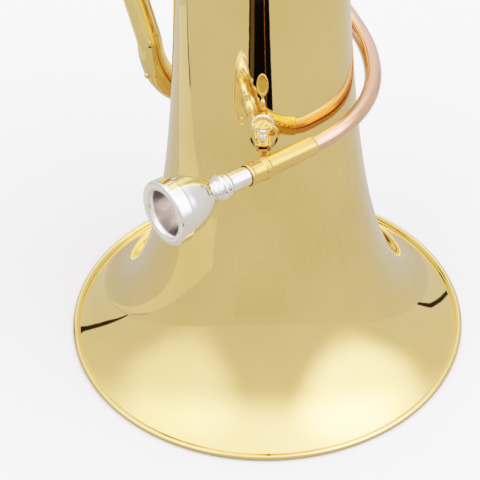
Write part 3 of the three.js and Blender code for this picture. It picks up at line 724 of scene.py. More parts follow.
bell()
low, high = box_of("bell_ferrule")
ferrule("bell_ferrule", vec(0, 0, low[2]), UP, bell_radius(low[2]) + 0.3, high[2] - low[2])

# ---- bottom bow, branch and top bow
foot_a, foot_b = sorted(feet("tuning_slide"), key=lambda p: -p[0])  # the main tuning slide's two legs
bow_centres, bow_radii = rings("bottom_bow", vec(0, 0, box_of("bottom_bow")[0][2]), 14)
bow_path, bow_sizes = flowing(bow_centres, bow_radii)
form("bottom_bow", tube(bow_path, bow_sizes, 96, wall=0.8), BRASS)

branch_low, branch_high = box_of("main_branch")
BRANCH_AT = (branch_low + branch_high) / 2 * vec(1, 1, 0)
branch_points = corners("main_branch")[0]


def ring_radius(points, centre, z):
    """How far the points at a height stand from an upright axis."""
    level = points[abs(points[:, 2] - z) < 0.3]
    return np.linalg.norm((level - centre)[:, :2], axis=1).max()


branch_ends = [(ring_radius(branch_points, BRANCH_AT, z), z) for z in (branch_low[2], branch_high[2])]


def branch_radius(z):
    (r0, z0), (r1, z1) = branch_ends
    return r0 + (r1 - r0) * (z - z0) / (z1 - z0)


def branch_at(z):
    return BRANCH_AT + vec(0, 0, z)


branch_outer = [(branch_radius(z), z) for z in np.linspace(branch_low[2], branch_high[2], 40)]
form("main_branch", lathe(branch_outer + [(r - 0.7, z) for r, z in branch_outer[::-1]], 96, BRANCH_AT),
     BRASS)
for node in ("branch_ferrule", "top_bow_ferrule"):
    low, high = box_of(node)
    widest = max(branch_radius(np.clip(z, branch_low[2], branch_high[2])) for z in (low[2], high[2]))
    ferrule(node, branch_at(low[2]), UP, widest + 0.3, high[2] - low[2])


def top_bow():
    """From the branch's small end round to the lean of the tuning branch."""
    centres, radii = rings("top_bow", branch_at(branch_low[2] - 0.3), 10)
    start, turn, end = centres[0], centres[1], centres[-1]
    # The rings before the bumper lie on the half turn, whose middle is as far from each of them.
    late = centres[4]
    heading = level_way(turn, late)
    chord, rise = np.dot(late - turn, heading), turn[2] - late[2]
    radius = (chord ** 2 + rise ** 2) / (2 * chord)
    path = list(spaced([start, turn], 3)) + arc(turn, -UP, heading, radius, 180, 70)
    after = rings("tuning_branch", vec(foot_a[0], foot_a[1], box_of("tuning_branch")[1][2]), 8)[0]
    points = corners("top_bow")[0]
    beyond = (points - turn) @ heading > radius
    leaning = points[beyond & (points[:, 2] > turn[2] + 5) & (points[:, 2] < end[2] - 5)]
    lower = leaning[:, 2] < leaning[:, 2].mean()
    stations = np.array([path[-1] - UP * 13, path[-1], leaning[lower].mean(axis=0),
                         leaning[~lower].mean(axis=0), end, after[-2]])
    lean, where = flowing(stations, np.arange(6), 1.5)
    path = np.array(path + list(lean[(where > 1.001) & (where < 4.001)]))
    gone = np.r_[0, np.cumsum(np.linalg.norm(np.diff(path, axis=0), axis=1))]
    sizes = np.maximum(radii[-1], radii[0] + (radii[-1] - radii[0]) * gone / gone[-1] / 0.82)
    # The bumper is the only part of the node that stands out of the tube.
    away = np.array([np.min(np.linalg.norm(path - p, axis=1) - sizes) for p in points])
    proud = points[(away > 0.8) & (points[:, 2] < turn[2])]
    foot = path[np.argmin(np.linalg.norm(path - proud.mean(axis=0), axis=1))]
    out = unit(proud.mean(axis=0) - foot)
    tip = max(np.dot(p - foot, out) for p in proud)
    nub = turned([(0, tip), (1.5, tip - 0.2), (2.2, tip - 1.3), (2.3, tip - 2.6), (3.1, tip - 3.4),
                  (3.1, tip - 4.4), (0, tip - 4.4)], 0.6, 40, foot, out)
    form("top_bow", tube(path, sizes, 72, wall=0.8), BRASS)
    piece("top_bow_bumper", nub, FITTING, "horn")


top_bow()

# ---- main tuning slide
LEG, SLEEVE = 7.6, 8.75      # the outer radii of a slide's leg and of the sleeve that it goes into


def collar(at, along, radius, height=7.0, thick=0.5):
    """The reinforcing ring soldered on the end of a sleeve."""
    return turned([(radius - 0.1, 0), (radius + thick, 0), (radius + thick, 1.0),
                   (radius + thick - 0.35, 1.5), (radius + thick - 0.35, height - 2.2),
                   (radius + thick, height - 1.7), (radius + thick, height), (radius - 0.1, height)], 0.35,
                  64, at, along)


def sleeve_end(foot, top, height=8):
    """The collar at the top of an upright sleeve."""
    return collar(at_height(foot, top - height), UP, SLEEVE, height)


def sleeve_post(a, b, z, foot, waist, belly, sides):
    """The turned post between two upright sleeves."""
    across = level_way(a, b)
    gap = np.linalg.norm((b - a)[:2]) - 2 * SLEEVE
    return lathe(spindle(gap, foot, waist, belly), sides, at_height(a, z) + across * SLEEVE, across)


def tuning_branch():
    high = box_of("tuning_branch")[1]
    centres, radii = rings("tuning_branch", vec(foot_a[0], foot_a[1], high[2]), 8)
    centres, radii = centres[::-1], radii[::-1]
    path, sizes = flowing(centres[:-1], np.full(len(centres) - 1, radii[0]))
    start, end = centres[-2], centres[-1]
    form("tuning_branch", join(
        tube(path, sizes, 64, wall=0.8),
        tube(spaced([start - vec(0, 0, 4), end - vec(0, 0, 0.6)], 12), SLEEVE, 64, wall=0.8),
        collar(start - vec(0, 0, 4.5), UP, SLEEVE, 6.0), sleeve_end(end, end[2])), BRASS)
    way = unit(path[2] - path[0])
    ferrule("tuning_branch_ferrule", path[0] - way * 6.6, way, radii[0] + 0.2, 12)


tuning_branch()

# ---- valve positions
valves = []
for i in range(4):
    low, high = box_of(f"piston_{i + 1}")
    valves.append((low + high) / 2 * vec(1, 1, 0))
next_valve = unit(valves[3] - valves[0])          # from valve 1 towards valve 4
pitch = np.linalg.norm(valves[3] - valves[0]) / 3
slide_side = np.cross(next_valve, UP)             # where the slides stand
if np.dot(slide_side, feet("slide_1")[0] - valves[0]) < 0:
    slide_side = -slide_side
CASING = {"r": 13.0, "bore": 11.8, "low": box_of("valve_casing_1")[0][2],
          "high": box_of("valve_casing_1")[1][2], "bands": (293.4, 396.6)}
PORT = {"low": 345, "high": 366, "knuckle": 323, "reach": 16, "r": 9.1}
BEND = 13                                         # the radius of a quarter turn from a port
LOOP_BOTTOM = 277.0                               # where slide 4's long loop turns back up
blow = unit(middle("receiver") - middle("mouthpiece"))    # the way the air goes


def span(node, way):
    """How far a CAD node reaches along a direction: its least and greatest distance."""
    reach = corners(node)[0] @ way
    return reach.min(), reach.max()


def on_air(distance):
    """The point of the receiver's axis at a distance along the air's way."""
    foot = middle("receiver")
    return foot + blow * (distance - np.dot(foot, blow))


receiver_start, receiver_end = span("receiver", blow)
lead_centres, lead_radii = rings("leadpipe", on_air(receiver_end - 12), 8)
entry = level_way(valves[0], lead_centres[-1])    # from valve 1 towards the leadpipe
exit_way = level_way(valves[3], foot_b)           # from valve 4 towards the tuning slide

# The caps' outlines, from the end of the casing that each closes.
TOP_CAP = [(3.9, -4), (12.6, -4), (14.2, -3.2), (14.9, -1.6), (14.4, -0.9), (14.4, 0.1), (15.2, 0.5),
           (15.2, 1.5), (15.2, 6.0), (15.2, 9.3), (15.2, 10.1), (14.5, 10.6), (14.8, 12), (13.3, 12),
           (13.3, -0.3), (3.9, -0.3)]
BOTTOM_CAP = [(2.2, 5.9), (4.6, 5.9), (5.4, 5.2), (9.6, 4.6), (12.8, 3.8), (14.4, 2.4), (14.4, 0.6),
              (15.2, 0.1), (15.2, -4), (15.2, -9.6), (14.5, -10.4), (14.9, -12), (13.3, -12), (13.3, 0.3),
              (2.2, 0.3)]
# The finger button, its pearl and its felt, from the button's face.
BUTTON = [(0, 0.75), (7.9, 0.75), (7.95, 0.05), (8.5, 0), (9.6, 0.35), (9.8, 1.1), (9.6, 2.0), (8.3, 2.7),
          (5.2, 3.7), (4.4, 4.6), (4.6, 5.6), (5.0, 5.9), (5.0, 6.7), (4.6, 7.2), (0, 7.2)]
BUTTON_PEARL = [(0, 0.42), (3, 0.36), (6, 0.2), (7.4, 0.08), (7.85, 0.3), (7.85, 0.9), (0, 0.9)]
BUTTON_FELT = [(3.4, 7.25), (6.4, 7.25), (6.6, 9.4), (3.4, 9.4)]
STEM_RADIUS = 3.35


def casing(i):
    """The barrel with its end bands, and a stub with a collar at each port."""
    axis, bore, radius = valves[i], CASING["bore"], CASING["r"]

    def band(z):
        return [(radius, z - 2), (13.9, z - 1.5), (14.1, z), (13.9, z + 1.5), (radius, z + 2)]

    ends = CASING["low"], CASING["high"]
    low_band, high_band = CASING["bands"]
    outline = [(bore, ends[0]), (radius, ends[0])] + band(low_band) + band(high_band)
    shells = [turned(outline + [(radius, ends[1]), (bore, ends[1])], 0.3, 96, axis)]
    ports = [(slide_side, PORT["high"]), (slide_side, PORT["low"])]
    if i == 0:
        ports.append((entry, PORT["low"]))
    if i == 3:
        ports.append((exit_way, PORT["low"]))
    r = PORT["r"]
    for way, z in ports:
        reach = PORT["reach"] + (3 if way is entry else 0)
        outline = [(0, 11.9), (r + 1.6, 11.9), (r + 1.3, 12.8), (r, 13.9), (r, reach - 1.4),
                   (r + 0.9, reach - 1.1), (r + 0.9, reach + 1.5), (r + 0.2, reach + 1.9), (0, reach + 1.9)]
        shells.append(turned(outline, 0.4, 64, at_height(axis, z), way))
    if i < 3:
        far = pitch - 11.9
        outline = [(0, 11.9), (r + 1.5, 11.9), (r, 13.6), (r, 15.6), (r + 0.8, 15.9), (r + 0.8, 18.1),
                   (r, 18.4), (r, far - 1.7), (r + 1.5, far), (0, far)]
        shells.append(turned(outline, 0.4, 64, at_height(axis, PORT["knuckle"]), next_valve))
    form(f"valve_casing_{i + 1}", join(*shells), FITTING)


def knurl(low, high, depth=0.28, teeth=56, beyond=14.2):
    """Straight knurling between two heights of a cap's outside."""
    def shape(radius, height, angle):
        fade = np.clip((height - low) / 0.5, 0, 1) * np.clip((high - height) / 0.5, 0, 1)
        return radius - depth * fade * (radius > beyond) * (0.5 + 0.5 * np.cos(teeth * angle))
    return shape


def caps(i):
    for name, outline, height, grip in (("top_cap", TOP_CAP, CASING["low"], (0.9, 9.9)),
                                        ("bottom_cap", BOTTOM_CAP, CASING["high"], (-9.4, -0.2))):
        fine = refined(rounded(outline, 0.3), 0.5)
        form(f"{name}_{i + 1}", lathe(fine, 224, at_height(valves[i], height), shape=knurl(*grip)), NICKEL,
             sharp=50)


def refined(outline, step):
    """A closed outline with its long edges divided."""
    made = []
    for a, b in zip(outline, np.roll(outline, -1, axis=0)):
        pieces = max(1, int(round(np.linalg.norm(b - a) / step)))
        made += [a + (b - a) * k / pieces for k in range(pieces)]
    return np.array(made)


def valve(i):
    """The stem, the button, its pearl and felt. The piston keeps its CAD shape, inside the casing."""
    axis = valves[i]
    body = f"valve_{i + 1}"
    low, high = box_of(f"finger_button_{i + 1}")
    face = at_height(axis, low[2])
    stem_low, stem_high = high[2] - 1.2, CASING["low"] + 22
    stem = [(0, stem_low), (STEM_RADIUS, stem_low), (STEM_RADIUS, stem_high), (0, stem_high)]
    piece(f"valve_stem_{i + 1}", turned(stem, 0.3, 48, axis), NICKEL, body)
    form(f"finger_button_{i + 1}", turned(BUTTON, 0.25, 80, face), FITTING, body)
    piece(f"button_pearl_{i + 1}", lathe(BUTTON_PEARL, 80, face), PEARL, body)
    piece(f"button_felt_{i + 1}", turned(BUTTON_FELT, 0.5, 56, face), FELT, body)


def elbow(axis, z, reach, turn_to, way):
    """From a port straight out, then a quarter turn up or down, to `reach` from the casing's axis."""
    start = at_height(axis, z) + way * (PORT["reach"] + 0.3)
    turn = at_height(axis, z) + way * (reach - BEND)
    points = [start]
    if reach - BEND > PORT["reach"] + 1.3:
        points = list(spaced([start, turn]))
    return points + arc(turn, way, turn_to, BEND, 90, 12)


def slide(i):
    """The two fixed sleeves of a valve's slide, and the crook that pulls out of them."""
    axis = valves[i]
    near, far = sorted(feet(f"slide_{i + 1}"), key=lambda p: np.linalg.norm((p - axis)[:2]))
    top = box_of(f"slide_{i + 1}_sleeves")[1][2]
    reach = [abs(np.dot(p - axis, slide_side)) for p in (near, far)]
    inner = elbow(axis, PORT["high"], reach[0], UP, slide_side)
    inner += list(spaced([at_height(near, 380), at_height(near, top)]))
    if i < 3:
        outer = elbow(axis, PORT["low"], reach[1], UP, slide_side)
        outer += list(spaced([at_height(far, 360), at_height(far, top)]))
    else:
        foot = elbow(axis, PORT["low"], reach[1], -UP, slide_side)
        turn = at_height(foot[-1], LOOP_BOTTOM)
        outer = foot + list(spaced([foot[-1] - vec(0, 0, 3), turn]))
        outer += arc(turn, -UP, next_valve, pitch / 2, 180, 28)
        outer += list(spaced([at_height(far, LOOP_BOTTOM + 3), at_height(far, top)]))
    name = f"slide_{i + 1}_sleeves"
    form(name, join(tube(inner, SLEEVE, 56, wall=0.8), tube(outer, SLEEVE, 56, wall=0.8),
                    sleeve_post(near, far, top - 16, 4.2, 2.0, 3.2, 40), sleeve_end(near, top),
                    sleeve_end(far, top)), BRASS)
    crook(f"slide_{i + 1}", near, far, top, f"valve_slide_{i + 1}")


def spindle(length, foot, waist, belly):
    """A turned post from surface to surface, with a bead at its middle."""
    half = length / 2
    left = [(foot, -1.0), (foot, 0.9), (foot - 1.0, 1.5), (waist, 3.2), (waist, 4.2),
            (waist + 0.2, half * 0.62), (belly, half - 2.6), (belly - 0.5, half - 1.7),
            (belly + 0.5, half - 1.2)]
    if half < 8:
        left = [(foot, -1.0), (foot, 0.8), (waist, 2.2), (waist, half - 2.2), (belly, half - 1.2)]
    right = [(r, length - z) for r, z in left[::-1]]
    return rounded([(0, -1.0)] + left + right + [(0, length + 1.0)], 0.7)


def crook(node, a, b, top, body, extra=()):
    """The half of a slide that pulls out: two legs, their collars, a half turn and a pull knob."""
    bottom = a[2]
    across = unit(b - a)
    apart = np.linalg.norm(b - a)
    turn = at_height(a, top + 6)
    path = list(spaced([a, at_height(a, top - 2), turn], 8)) + arc(turn, UP, across, apart / 2, 180, 40)
    path += list(spaced([at_height(b, top + 6), at_height(b, bottom)], 8))[1:]
    crown = turn + across * apart / 2 + vec(0, 0, apart / 2 + LEG)
    knob_top = box_of(node)[1][2] - crown[2]
    knob = turned([(0, -1.4), (3.6, -1.4), (3.2, 0.2), (2.1, 1.3), (2.0, 2.8), (3.2, knob_top - 4.0),
                   (4.2, knob_top - 2.6), (4.0, knob_top - 1.0), (2.4, knob_top - 0.1), (0, knob_top)], 0.6,
                  48, crown)
    ends = [turned([(LEG - 0.1, top + 0.5), (SLEEVE + 0.2, top + 0.5), (SLEEVE + 0.2, top + 3.4),
                    (LEG + 0.8, top + 4.1), (LEG + 0.7, top + 7.6), (LEG + 0.1, top + 8.2),
                    (LEG - 0.1, top + 8.2)], 0.35, 56, at_height(p, 0)) for p in (a, b)]
    form(node, join(tube(path, LEG, 56, wall=0.8), knob, *ends, *extra), BRASS, body)


for index in range(4):
    casing(index)
    caps(index)
    valve(index)
    slide(index)


def post(name, start, end, outline, flanges):
    """A turned post between two surfaces, with a flange on each surface that has one."""
    way = unit(end - start)
    shells = [lathe(outline, 56, start, way)]
    for place, radius in flanges:
        shells.append(patch(place, ellipse(radius, radius), FLANGE))
    form(name, join(*shells), FITTING)


# A flange's section: a low dome with a rolled edge.
FLANGE = [(0, 1.9), (0.3, 1.8), (0.55, 1.35), (0.74, 1.1), (0.80, 1.15), (0.88, 1.35), (0.95, 1.25),
          (0.99, 0.9), (1.0, 0.5)]


def tuning_leg():
    start = at_height(valves[3], PORT["low"]) + exit_way * (PORT["reach"] + 0.3)
    bend = 28
    turn = at_height(foot_b, PORT["low"]) - exit_way * bend
    top = box_of("tuning_slide_leg")[1][2]
    path = list(spaced([start, turn])) + arc(turn, exit_way, UP, bend, 90, 20)
    path += list(spaced([path[-1], at_height(foot_b, top)]))[1:]
    form("tuning_slide_leg", join(
        tube(path, SLEEVE, 64, wall=0.8), sleeve_end(foot_b, top),
        sleeve_post(foot_b, foot_a, PORT["low"] + bend + 60, 4.6, 2.1, 3.4, 48)), BRASS)


tuning_leg()

# ---- tuning crook and water key
tuning_top = box_of("tuning_branch")[1][2]
tuning_across = level_way(foot_a, foot_b)
tuning_bend = at_height((foot_a + foot_b) / 2, tuning_top + 6)
bend_radius = np.linalg.norm((foot_b - foot_a)[:2]) / 2
KEY = {"tilt": math.radians(52), "pin_along": 17.0, "pin_out": 2.6, "nipple": 3.2, "lever": 4.2}
key_out = tuning_across * math.cos(KEY["tilt"]) + UP * math.sin(KEY["tilt"])
key_along = tuning_across * math.sin(KEY["tilt"]) - UP * math.cos(KEY["tilt"])
key_side = np.cross(tuning_across, UP)
key_foot = tuning_bend + key_out * (bend_radius + LEG - 1)


def key_point(side, along, out):
    return key_foot + key_side * side + key_along * along + key_out * out


def strip(stations, base, steps=10, corner=0.45):
    """A flat lever with rounded edges, from stations of (along, rise, half width, thickness)."""
    stations = np.array(stations, float)
    finer = np.linspace(0, len(stations) - 1, (len(stations) - 1) * steps + 1)
    along, out, half, thick = (np.interp(finer, np.arange(len(stations)), c) for c in stations.T)
    rows = []
    for a, o, h, t in zip(along, out, half, thick):
        k = min(corner, 0.45 * t, 0.8 * h)
        section = [(-h + k, 0), (h - k, 0), (h, k), (h, t - k), (h - k, t), (-h + k, t), (-h, t - k),
                   (-h, k)]
        rows.append([key_point(x, a, base + o + y) for x, y in section])
    rows = [[np.mean(rows[0], axis=0)] * 8] + rows + [[np.mean(rows[-1], axis=0)] * 8]
    return grid(np.array(rows))


def key():
    hinge_at = {"along": KEY["pin_along"], "out": KEY["pin_out"]}
    nipple = KEY["nipple"]

    def round_hinge(outline, corner, side=0.0):
        """A round part about the hinge's axis."""
        return turned(outline, corner, 40, key_point(side, **hinge_at), key_side)

    def pin(half, r, side=0.0, shoulder=0.25):
        return round_hinge([(0, -half), (r, -half), (r, half), (0, half)], shoulder, side)

    def over_nipple(outline, rise):
        """A round part over the water key's nipple."""
        return turned([(r, z + rise) for r, z in outline], 0.3, 48, key_point(0, 0, 0), key_out)

    chimney = over_nipple([(0, -0.5), (4.4, -0.5), (4.1, 0.6), (3.1, 1.3), (3.0, nipple), (1.4, nipple),
                           (1.3, 0.4), (0, 0.4)], 0)
    axes = (key_side, key_along, key_out)
    saddle = block(key_point(0, KEY["pin_along"], -4.2), (11, 6, 6), axes, 0.9)
    ears = []
    for side in (-4.6, 4.6):
        ears.append(block(key_point(side, KEY["pin_along"], -0.6), (1.8, 6, 6.4), axes, 0.5))
        ears.append(pin(0.9, 3.0, side, 0.35))
    crook("tuning_slide", foot_a, foot_b, tuning_top, "main_tuning_slide", (chimney, saddle, *ears))
    heads = [pin(0.45, 1.7, side, 0.3) for side in (-5.9, 5.9)]
    form("water_key_pin", join(pin(6.2, 1.0), *heads), STEEL, "main_tuning_slide")
    lever = strip([(-3.6, 0, 0.6, 1.2), (-3.2, 0, 2.2, 1.5), (-1.5, 0, 3.4, 1.6), (1.5, 0, 3.4, 1.6),
                   (3.4, 0, 2.0, 1.7), (8, 0.2, 1.5, 1.9), (13, 0, 1.7, 2.0), (17, -0.1, 2.0, 2.1),
                   (20, 0, 1.9, 2.0), (24, 0.1, 2.4, 1.7), (29, 0.2, 3.0, 1.5), (33, 0.3, 2.9, 1.4),
                   (35, 0.35, 2.0, 1.3), (35.5, 0.4, 0.7, 1.1)], KEY["lever"])
    cup = over_nipple([(0, 1.3), (4.1, 1.3), (4.1, 0.7), (4.6, 0.7), (4.6, 2.4), (3.6, 3.0), (0, 3.2)],
                      nipple)
    barrel = round_hinge([(1.2, -3.4), (2.5, -3.4), (2.5, 3.4), (1.2, 3.4)], 0.25)
    form("water_key", join(lever, cup, barrel), FITTING, "key")
    piece("water_key_pad", over_nipple([(0, 0.15), (4.0, 0.15), (4.05, 1.6), (0, 1.6)], nipple), CORK, "key")


key()

# ---- receiver, mouthpiece and leadpipe
receiver_length = receiver_end - receiver_start
form("receiver", turned([(6.2, 0.2, 0.2), (6.5, 0, 0.3), (6.95, 0.3, 0.3), (7.05, 1.0, 0.3),
                         (6.95, 2.1, 0.3), (6.75, 2.5, 0.4), (6.6, 10.6), (6.62, 11.0), (7.15, 11.4, 0.4),
                         (7.25, 12.1, 0.4), (7.15, 12.7, 0.3), (6.85, 12.9, 0.2), (7.15, 13.1, 0.3),
                         (7.25, 13.8, 0.4), (7.1, 14.5, 0.4), (6.6, 14.9), (6.55, 16),
                         (5.85, receiver_length - 1.6), (5.75, receiver_length - 0.6, 0.4),
                         (5.35, receiver_length, 0.3), (5.2, receiver_length - 0.3, 0.2), (5.2, 38.5),
                         (5.8, 30)], 0.6, 96, on_air(receiver_start), blow), FITTING)

mouth_start = span("mouthpiece", blow)[0]
MOUTHPIECE = [(13.3, 1.5, 0.8), (13.9, 0.45, 0.8), (15.2, 0.02, 1.2), (17.9, 0.02, 1.4), (18.8, 0.6, 0.8),
              (19.1, 1.6, 0.7), (19.1, 7.9, 0.35), (18.85, 8.5, 0.3), (18.0, 8.7, 0.3), (17.75, 9.2, 0.4),
              (17.3, 13, 2.2), (15.7, 19.5, 3.2), (12.6, 25.5, 3.2), (8.7, 31, 2.4), (6.5, 33.8, 0.8),
              (6.0, 34.9, 0.3), (6.1, 35.6, 0.25), (6.65, 36.2, 0.4), (6.6, 37.2, 0.4), (5.8, 37.8, 0.3),
              (5.75, 38.5, 0.3), (7.2, 39.2, 0.5), (7.9, 40.1, 0.6), (7.85, 41.2, 0.6), (7.1, 42.0, 0.5),
              (6.2, 42.7, 0.3), (6.2, 43.2, 0.2), (6.9, 43.8, 0.4), (7.0, 44.7, 0.4), (6.5, 45.4, 0.4),
              (6.1, 46.2, 0.5), (6.0, 50, 1), (5.85, 59.8, 1), (5.5, 86.7, 0.2), (5.3, 87, 0.15),
              (4.7, 87, 0.2), (4.55, 86.4, 0.2), (3.3, 36, 1.0), (3.5, 34, 1.2), (5.6, 31.5, 1.6),
              (9.4, 25.5, 2.6), (11.8, 17, 3.5), (12.8, 6, 3.0)]
form("mouthpiece", lathe(rounded(MOUTHPIECE, 0.5, 6), 144, on_air(mouth_start), blow), SILVER,
     "mouthpiece_body", sharp=55)

CUP_WALL = [(14.0, 0.55), (13.0, 2.6), (12.75, 6), (12.45, 11), (11.75, 17), (10.8, 21.5), (9.3, 25.6),
            (7.4, 29), (5.5, 31.6), (4.1, 33.6), (3.45, 36)]
lining = [(r - 0.05, z) for r, z in CUP_WALL] + [(r - 0.22, z) for r, z in CUP_WALL[::-1]]
piece("mouthpiece_cup", lathe(rounded(lining, 1.5, 5), 128, on_air(mouth_start), blow), SATIN,
      "mouthpiece_body", sharp=60)

lead_path, lead_sizes = flowing(lead_centres, lead_radii)
r = lead_radii[-1]
lead_band = turned([(r - 0.2, -5), (r + 1.0, -5), (r + 1.2, -4.2), (r + 0.8, -3.2), (r + 0.7, 3.2),
                    (r + 1.2, 4.2), (r + 1.0, 5), (r - 0.2, 5)], 0.5, 64, lead_centres[-1] + entry * 7.0,
                   entry)
form("leadpipe", join(tube(lead_path, lead_sizes, 72, wall=0.8), lead_band), ROSE)

# ---- braces
BELL_AT = vec(0, 0, 0)


def receiver_post():
    """The turned post that carries the receiver on the bell, with a domed flange on the bell."""
    points = corners("receiver_brace")[0]
    level = points[:, 2].mean()
    x = (points[:, 0].min() + points[:, 0].max()) / 2
    start = vec(x, -bell_radius(level), level)
    # The post ends where the receiver's axis has the post's x.
    end = middle("receiver") + blow * (x - middle("receiver")[0]) / blow[0]
    reach = np.linalg.norm(end - start)
    beads = rounded([(0, -0.5), (5.2, 1.2, 0.6), (3.0, 2.0), (2.3, 2.8), (2.1, 4.2), (3.1, 5.2, 0.6),
                     (3.3, 6.6, 0.7), (3.1, 8.0, 0.6), (2.1, 9.2), (2.0, 10.4), (3.2, 11.4, 0.6),
                     (3.6, 12.9, 0.7), (3.2, 14.4, 0.6), (2.0, 15.6), (1.9, 18.0), (2.9, 19.2, 0.6),
                     (3.3, 20.6, 0.7), (2.9, 22.0, 0.6), (2.2, 23.2), (2.4, 24.6), (4.0, 25.6, 0.7),
                     (5.1, 26.8, 0.7), (5.2, 29.2, 0.5), (5.2, reach - 5.6, 0.3), (0, reach - 5.6)], 0.9, 5)
    place = on_round(BELL_AT, bell_radius, azimuth_of(start), level)
    post("receiver_brace", start, end, beads, [(place, 9.6)])


def upright_post(name, start, end, foot, surfaces, waist=2.3, belly=4.0):
    """A spindle between two upright surfaces, given as on_round places."""
    length = np.linalg.norm(end - start)
    half = [(0, -0.5), (waist + 1.6, 0.6), (waist + 0.3, 2.6), (waist, 4.2), (waist, length * 0.22),
            (waist + 0.7, length * 0.24, 0.5), (waist + 0.7, length * 0.27, 0.5), (waist, length * 0.29),
            (waist + 0.3, length * 0.36, 3.0)]
    other = [(p[0], length - p[1], *p[2:]) for p in half[::-1]]
    outline = rounded(half + [(belly, length * 0.5, 5.0)] + other, 0.8)
    post(name, start, end, outline, [(place, foot) for place in surfaces])


def braces():
    receiver_post()
    for node in ("bell_brace_1", "bell_brace_2"):
        z = mid_height(node)
        surfaces = [on_round(BELL_AT, bell_radius, math.radians(90), z),
                    on_round(BRANCH_AT, branch_radius, math.radians(-90), z)]
        upright_post(node, vec(0, bell_radius(z), z), branch_at(z) - vec(0, branch_radius(z), 0), 9.0,
                     surfaces, waist=2.6, belly=4.2)
    z = mid_height("valve_brace")
    way = level_way(valves[1], BRANCH_AT)
    azimuth = azimuth_of(way)
    surfaces = [on_round(valves[1], lambda h: CASING["r"], azimuth, z),
                on_round(BRANCH_AT, branch_radius, azimuth + math.pi, z)]
    upright_post("valve_brace", at_height(valves[1], z) + way * CASING["r"],
                 branch_at(z) - way * branch_radius(z), 6.0, surfaces, waist=2.0, belly=3.2)
    middle_lead = (lead_centres[13] + lead_centres[14]) / 2
    lead_r = (lead_radii[13] + lead_radii[14]) / 2
    way = unit(middle_lead - branch_at(middle_lead[2]))
    azimuth = azimuth_of(way)
    start = branch_at(middle_lead[2]) + way * branch_radius(middle_lead[2])
    end = middle_lead - way * (lead_r - 0.2)
    surfaces = [on_round(BRANCH_AT, branch_radius, azimuth, middle_lead[2])]
    upright_post("leadpipe_brace", start, end, 5.0, surfaces, waist=1.8, belly=2.6)


braces()

# ---- lyre holder and thumb screw
SCREW = {"lean": math.radians(13.5), "coin": 6.9, "thick": 2.0, "end": 15.6, "socket": 16.8}
lean_cos, lean_sin = math.cos(SCREW["lean"]), math.sin(SCREW["lean"])
screw_down = vec(0, lean_sin, -lean_cos)
screw_face = vec(0, -lean_cos, -lean_sin)
screw_low, screw_high = box_of("lyre_thumb_screw")
# The coin's top touches the box's top, its face touches the box's near side, and it is the widest part.
screw_top = vec((screw_low[0] + screw_high[0]) / 2,
                screw_low[1] + SCREW["coin"] * lean_sin + SCREW["thick"] / 2 * lean_cos,
                screw_high[2] - SCREW["coin"] * lean_cos - SCREW["thick"] / 2 * lean_sin)


def screw_at(s):
    return screw_top + screw_down * s


def lyre_holder():
    leaf_azimuth = math.radians(-90 - 12.3)
    leaf_z = 224.5
    place = on_round(BELL_AT, bell_radius, leaf_azimuth, leaf_z)

    def lens(angle):
        """A leaf: pointed a little at both ends."""
        c, s = math.cos(angle), math.sin(angle)
        return vec(4.9 * c * (1 - 0.16 * s * s), 19.0 * s)

    leaf = patch(place, lens, [(0, 1.55), (0.30, 1.5), (0.52, 1.35), (0.58, 1.2), (0.62, 0.95),
                               (0.66, 0.92), (0.70, 1.15), (0.74, 1.3), (0.79, 1.3), (0.82, 1.1),
                               (0.85, 0.95), (0.88, 1.05), (0.92, 1.35), (0.96, 1.35), (0.99, 1.1),
                               (1.0, 0.5)], spokes=96)
    out = vec(math.cos(leaf_azimuth), math.sin(leaf_azimuth), 0)
    foot = at_height(out * bell_radius(236), 236) + out * 0.6
    stations = [foot - out * 0.4, foot + out * 2.0 + vec(0, 0, 0.2), vec(-11.2, -64.0, 234.6),
                vec(-8.9, -67, 227.7), vec(-7.3, -70, 222.6), vec(-5.2, -73.5, 215.5),
                vec(-3.6, -77.5, 208.8)]
    path, sizes = flowing(stations, [2.9, 2.2, 1.9, 1.75, 1.7, 1.7, 2.1], 1.2)
    arm = tube(path, sizes, 40)
    gone = np.cumsum(np.r_[0, np.linalg.norm(np.diff(path, axis=0), axis=1)])
    mid = np.searchsorted(gone, gone[-1] * 0.5)
    way = unit(path[mid + 1] - path[mid - 1])
    bulb = turned([(0, -5.2), (1.7, -5.0), (2.0, -3.6), (2.9, -1.8, 1.0), (3.1, 0, 1.6), (2.9, 1.8, 1.0),
                   (2.0, 3.6), (1.7, 5.0), (0, 5.2)], 0.8, 48, path[mid], way)
    collars = [turned([(1.2, -0.9), (2.5, -0.9), (2.7, 0), (2.5, 0.9), (1.2, 0.9)], 0.4, 40, path[k],
                      unit(path[k + 1] - path[k - 1])) for k in (mid - 7, mid + 7)]
    centre = screw_at(SCREW["socket"])
    axes = (vec(1, 0, 0), -screw_face, -screw_down)
    # The socket is a box with a slot through it for the lyre's shank: two cheeks, a roof and a floor.
    height, width, depth = 5.2, 9.0, 8.0
    slot_w, slot_h = 5.0, 2.4
    wall_w, wall_h = (width - slot_w) / 2, (height - slot_h) / 2
    socket = []
    for s in (-1, 1):
        cheek = centre + s * (slot_w + wall_w) / 2 * axes[0]
        socket.append(block(cheek, (wall_w, depth, height), axes, 0.35))
    for s in (-1, 1):
        lid = centre + s * (slot_h + wall_h) / 2 * axes[2]
        socket.append(block(lid, (width - 0.3, depth, wall_h), axes, 0.35))
    boss = turned([(1.9, 2.2), (3.6, 2.2), (3.6, 3.0), (3.2, 3.5), (1.9, 3.5)], 0.3, 48, centre, -screw_down)
    form("lyre_holder", join(leaf, arm, bulb, *collars, *socket, boss), FITTING)


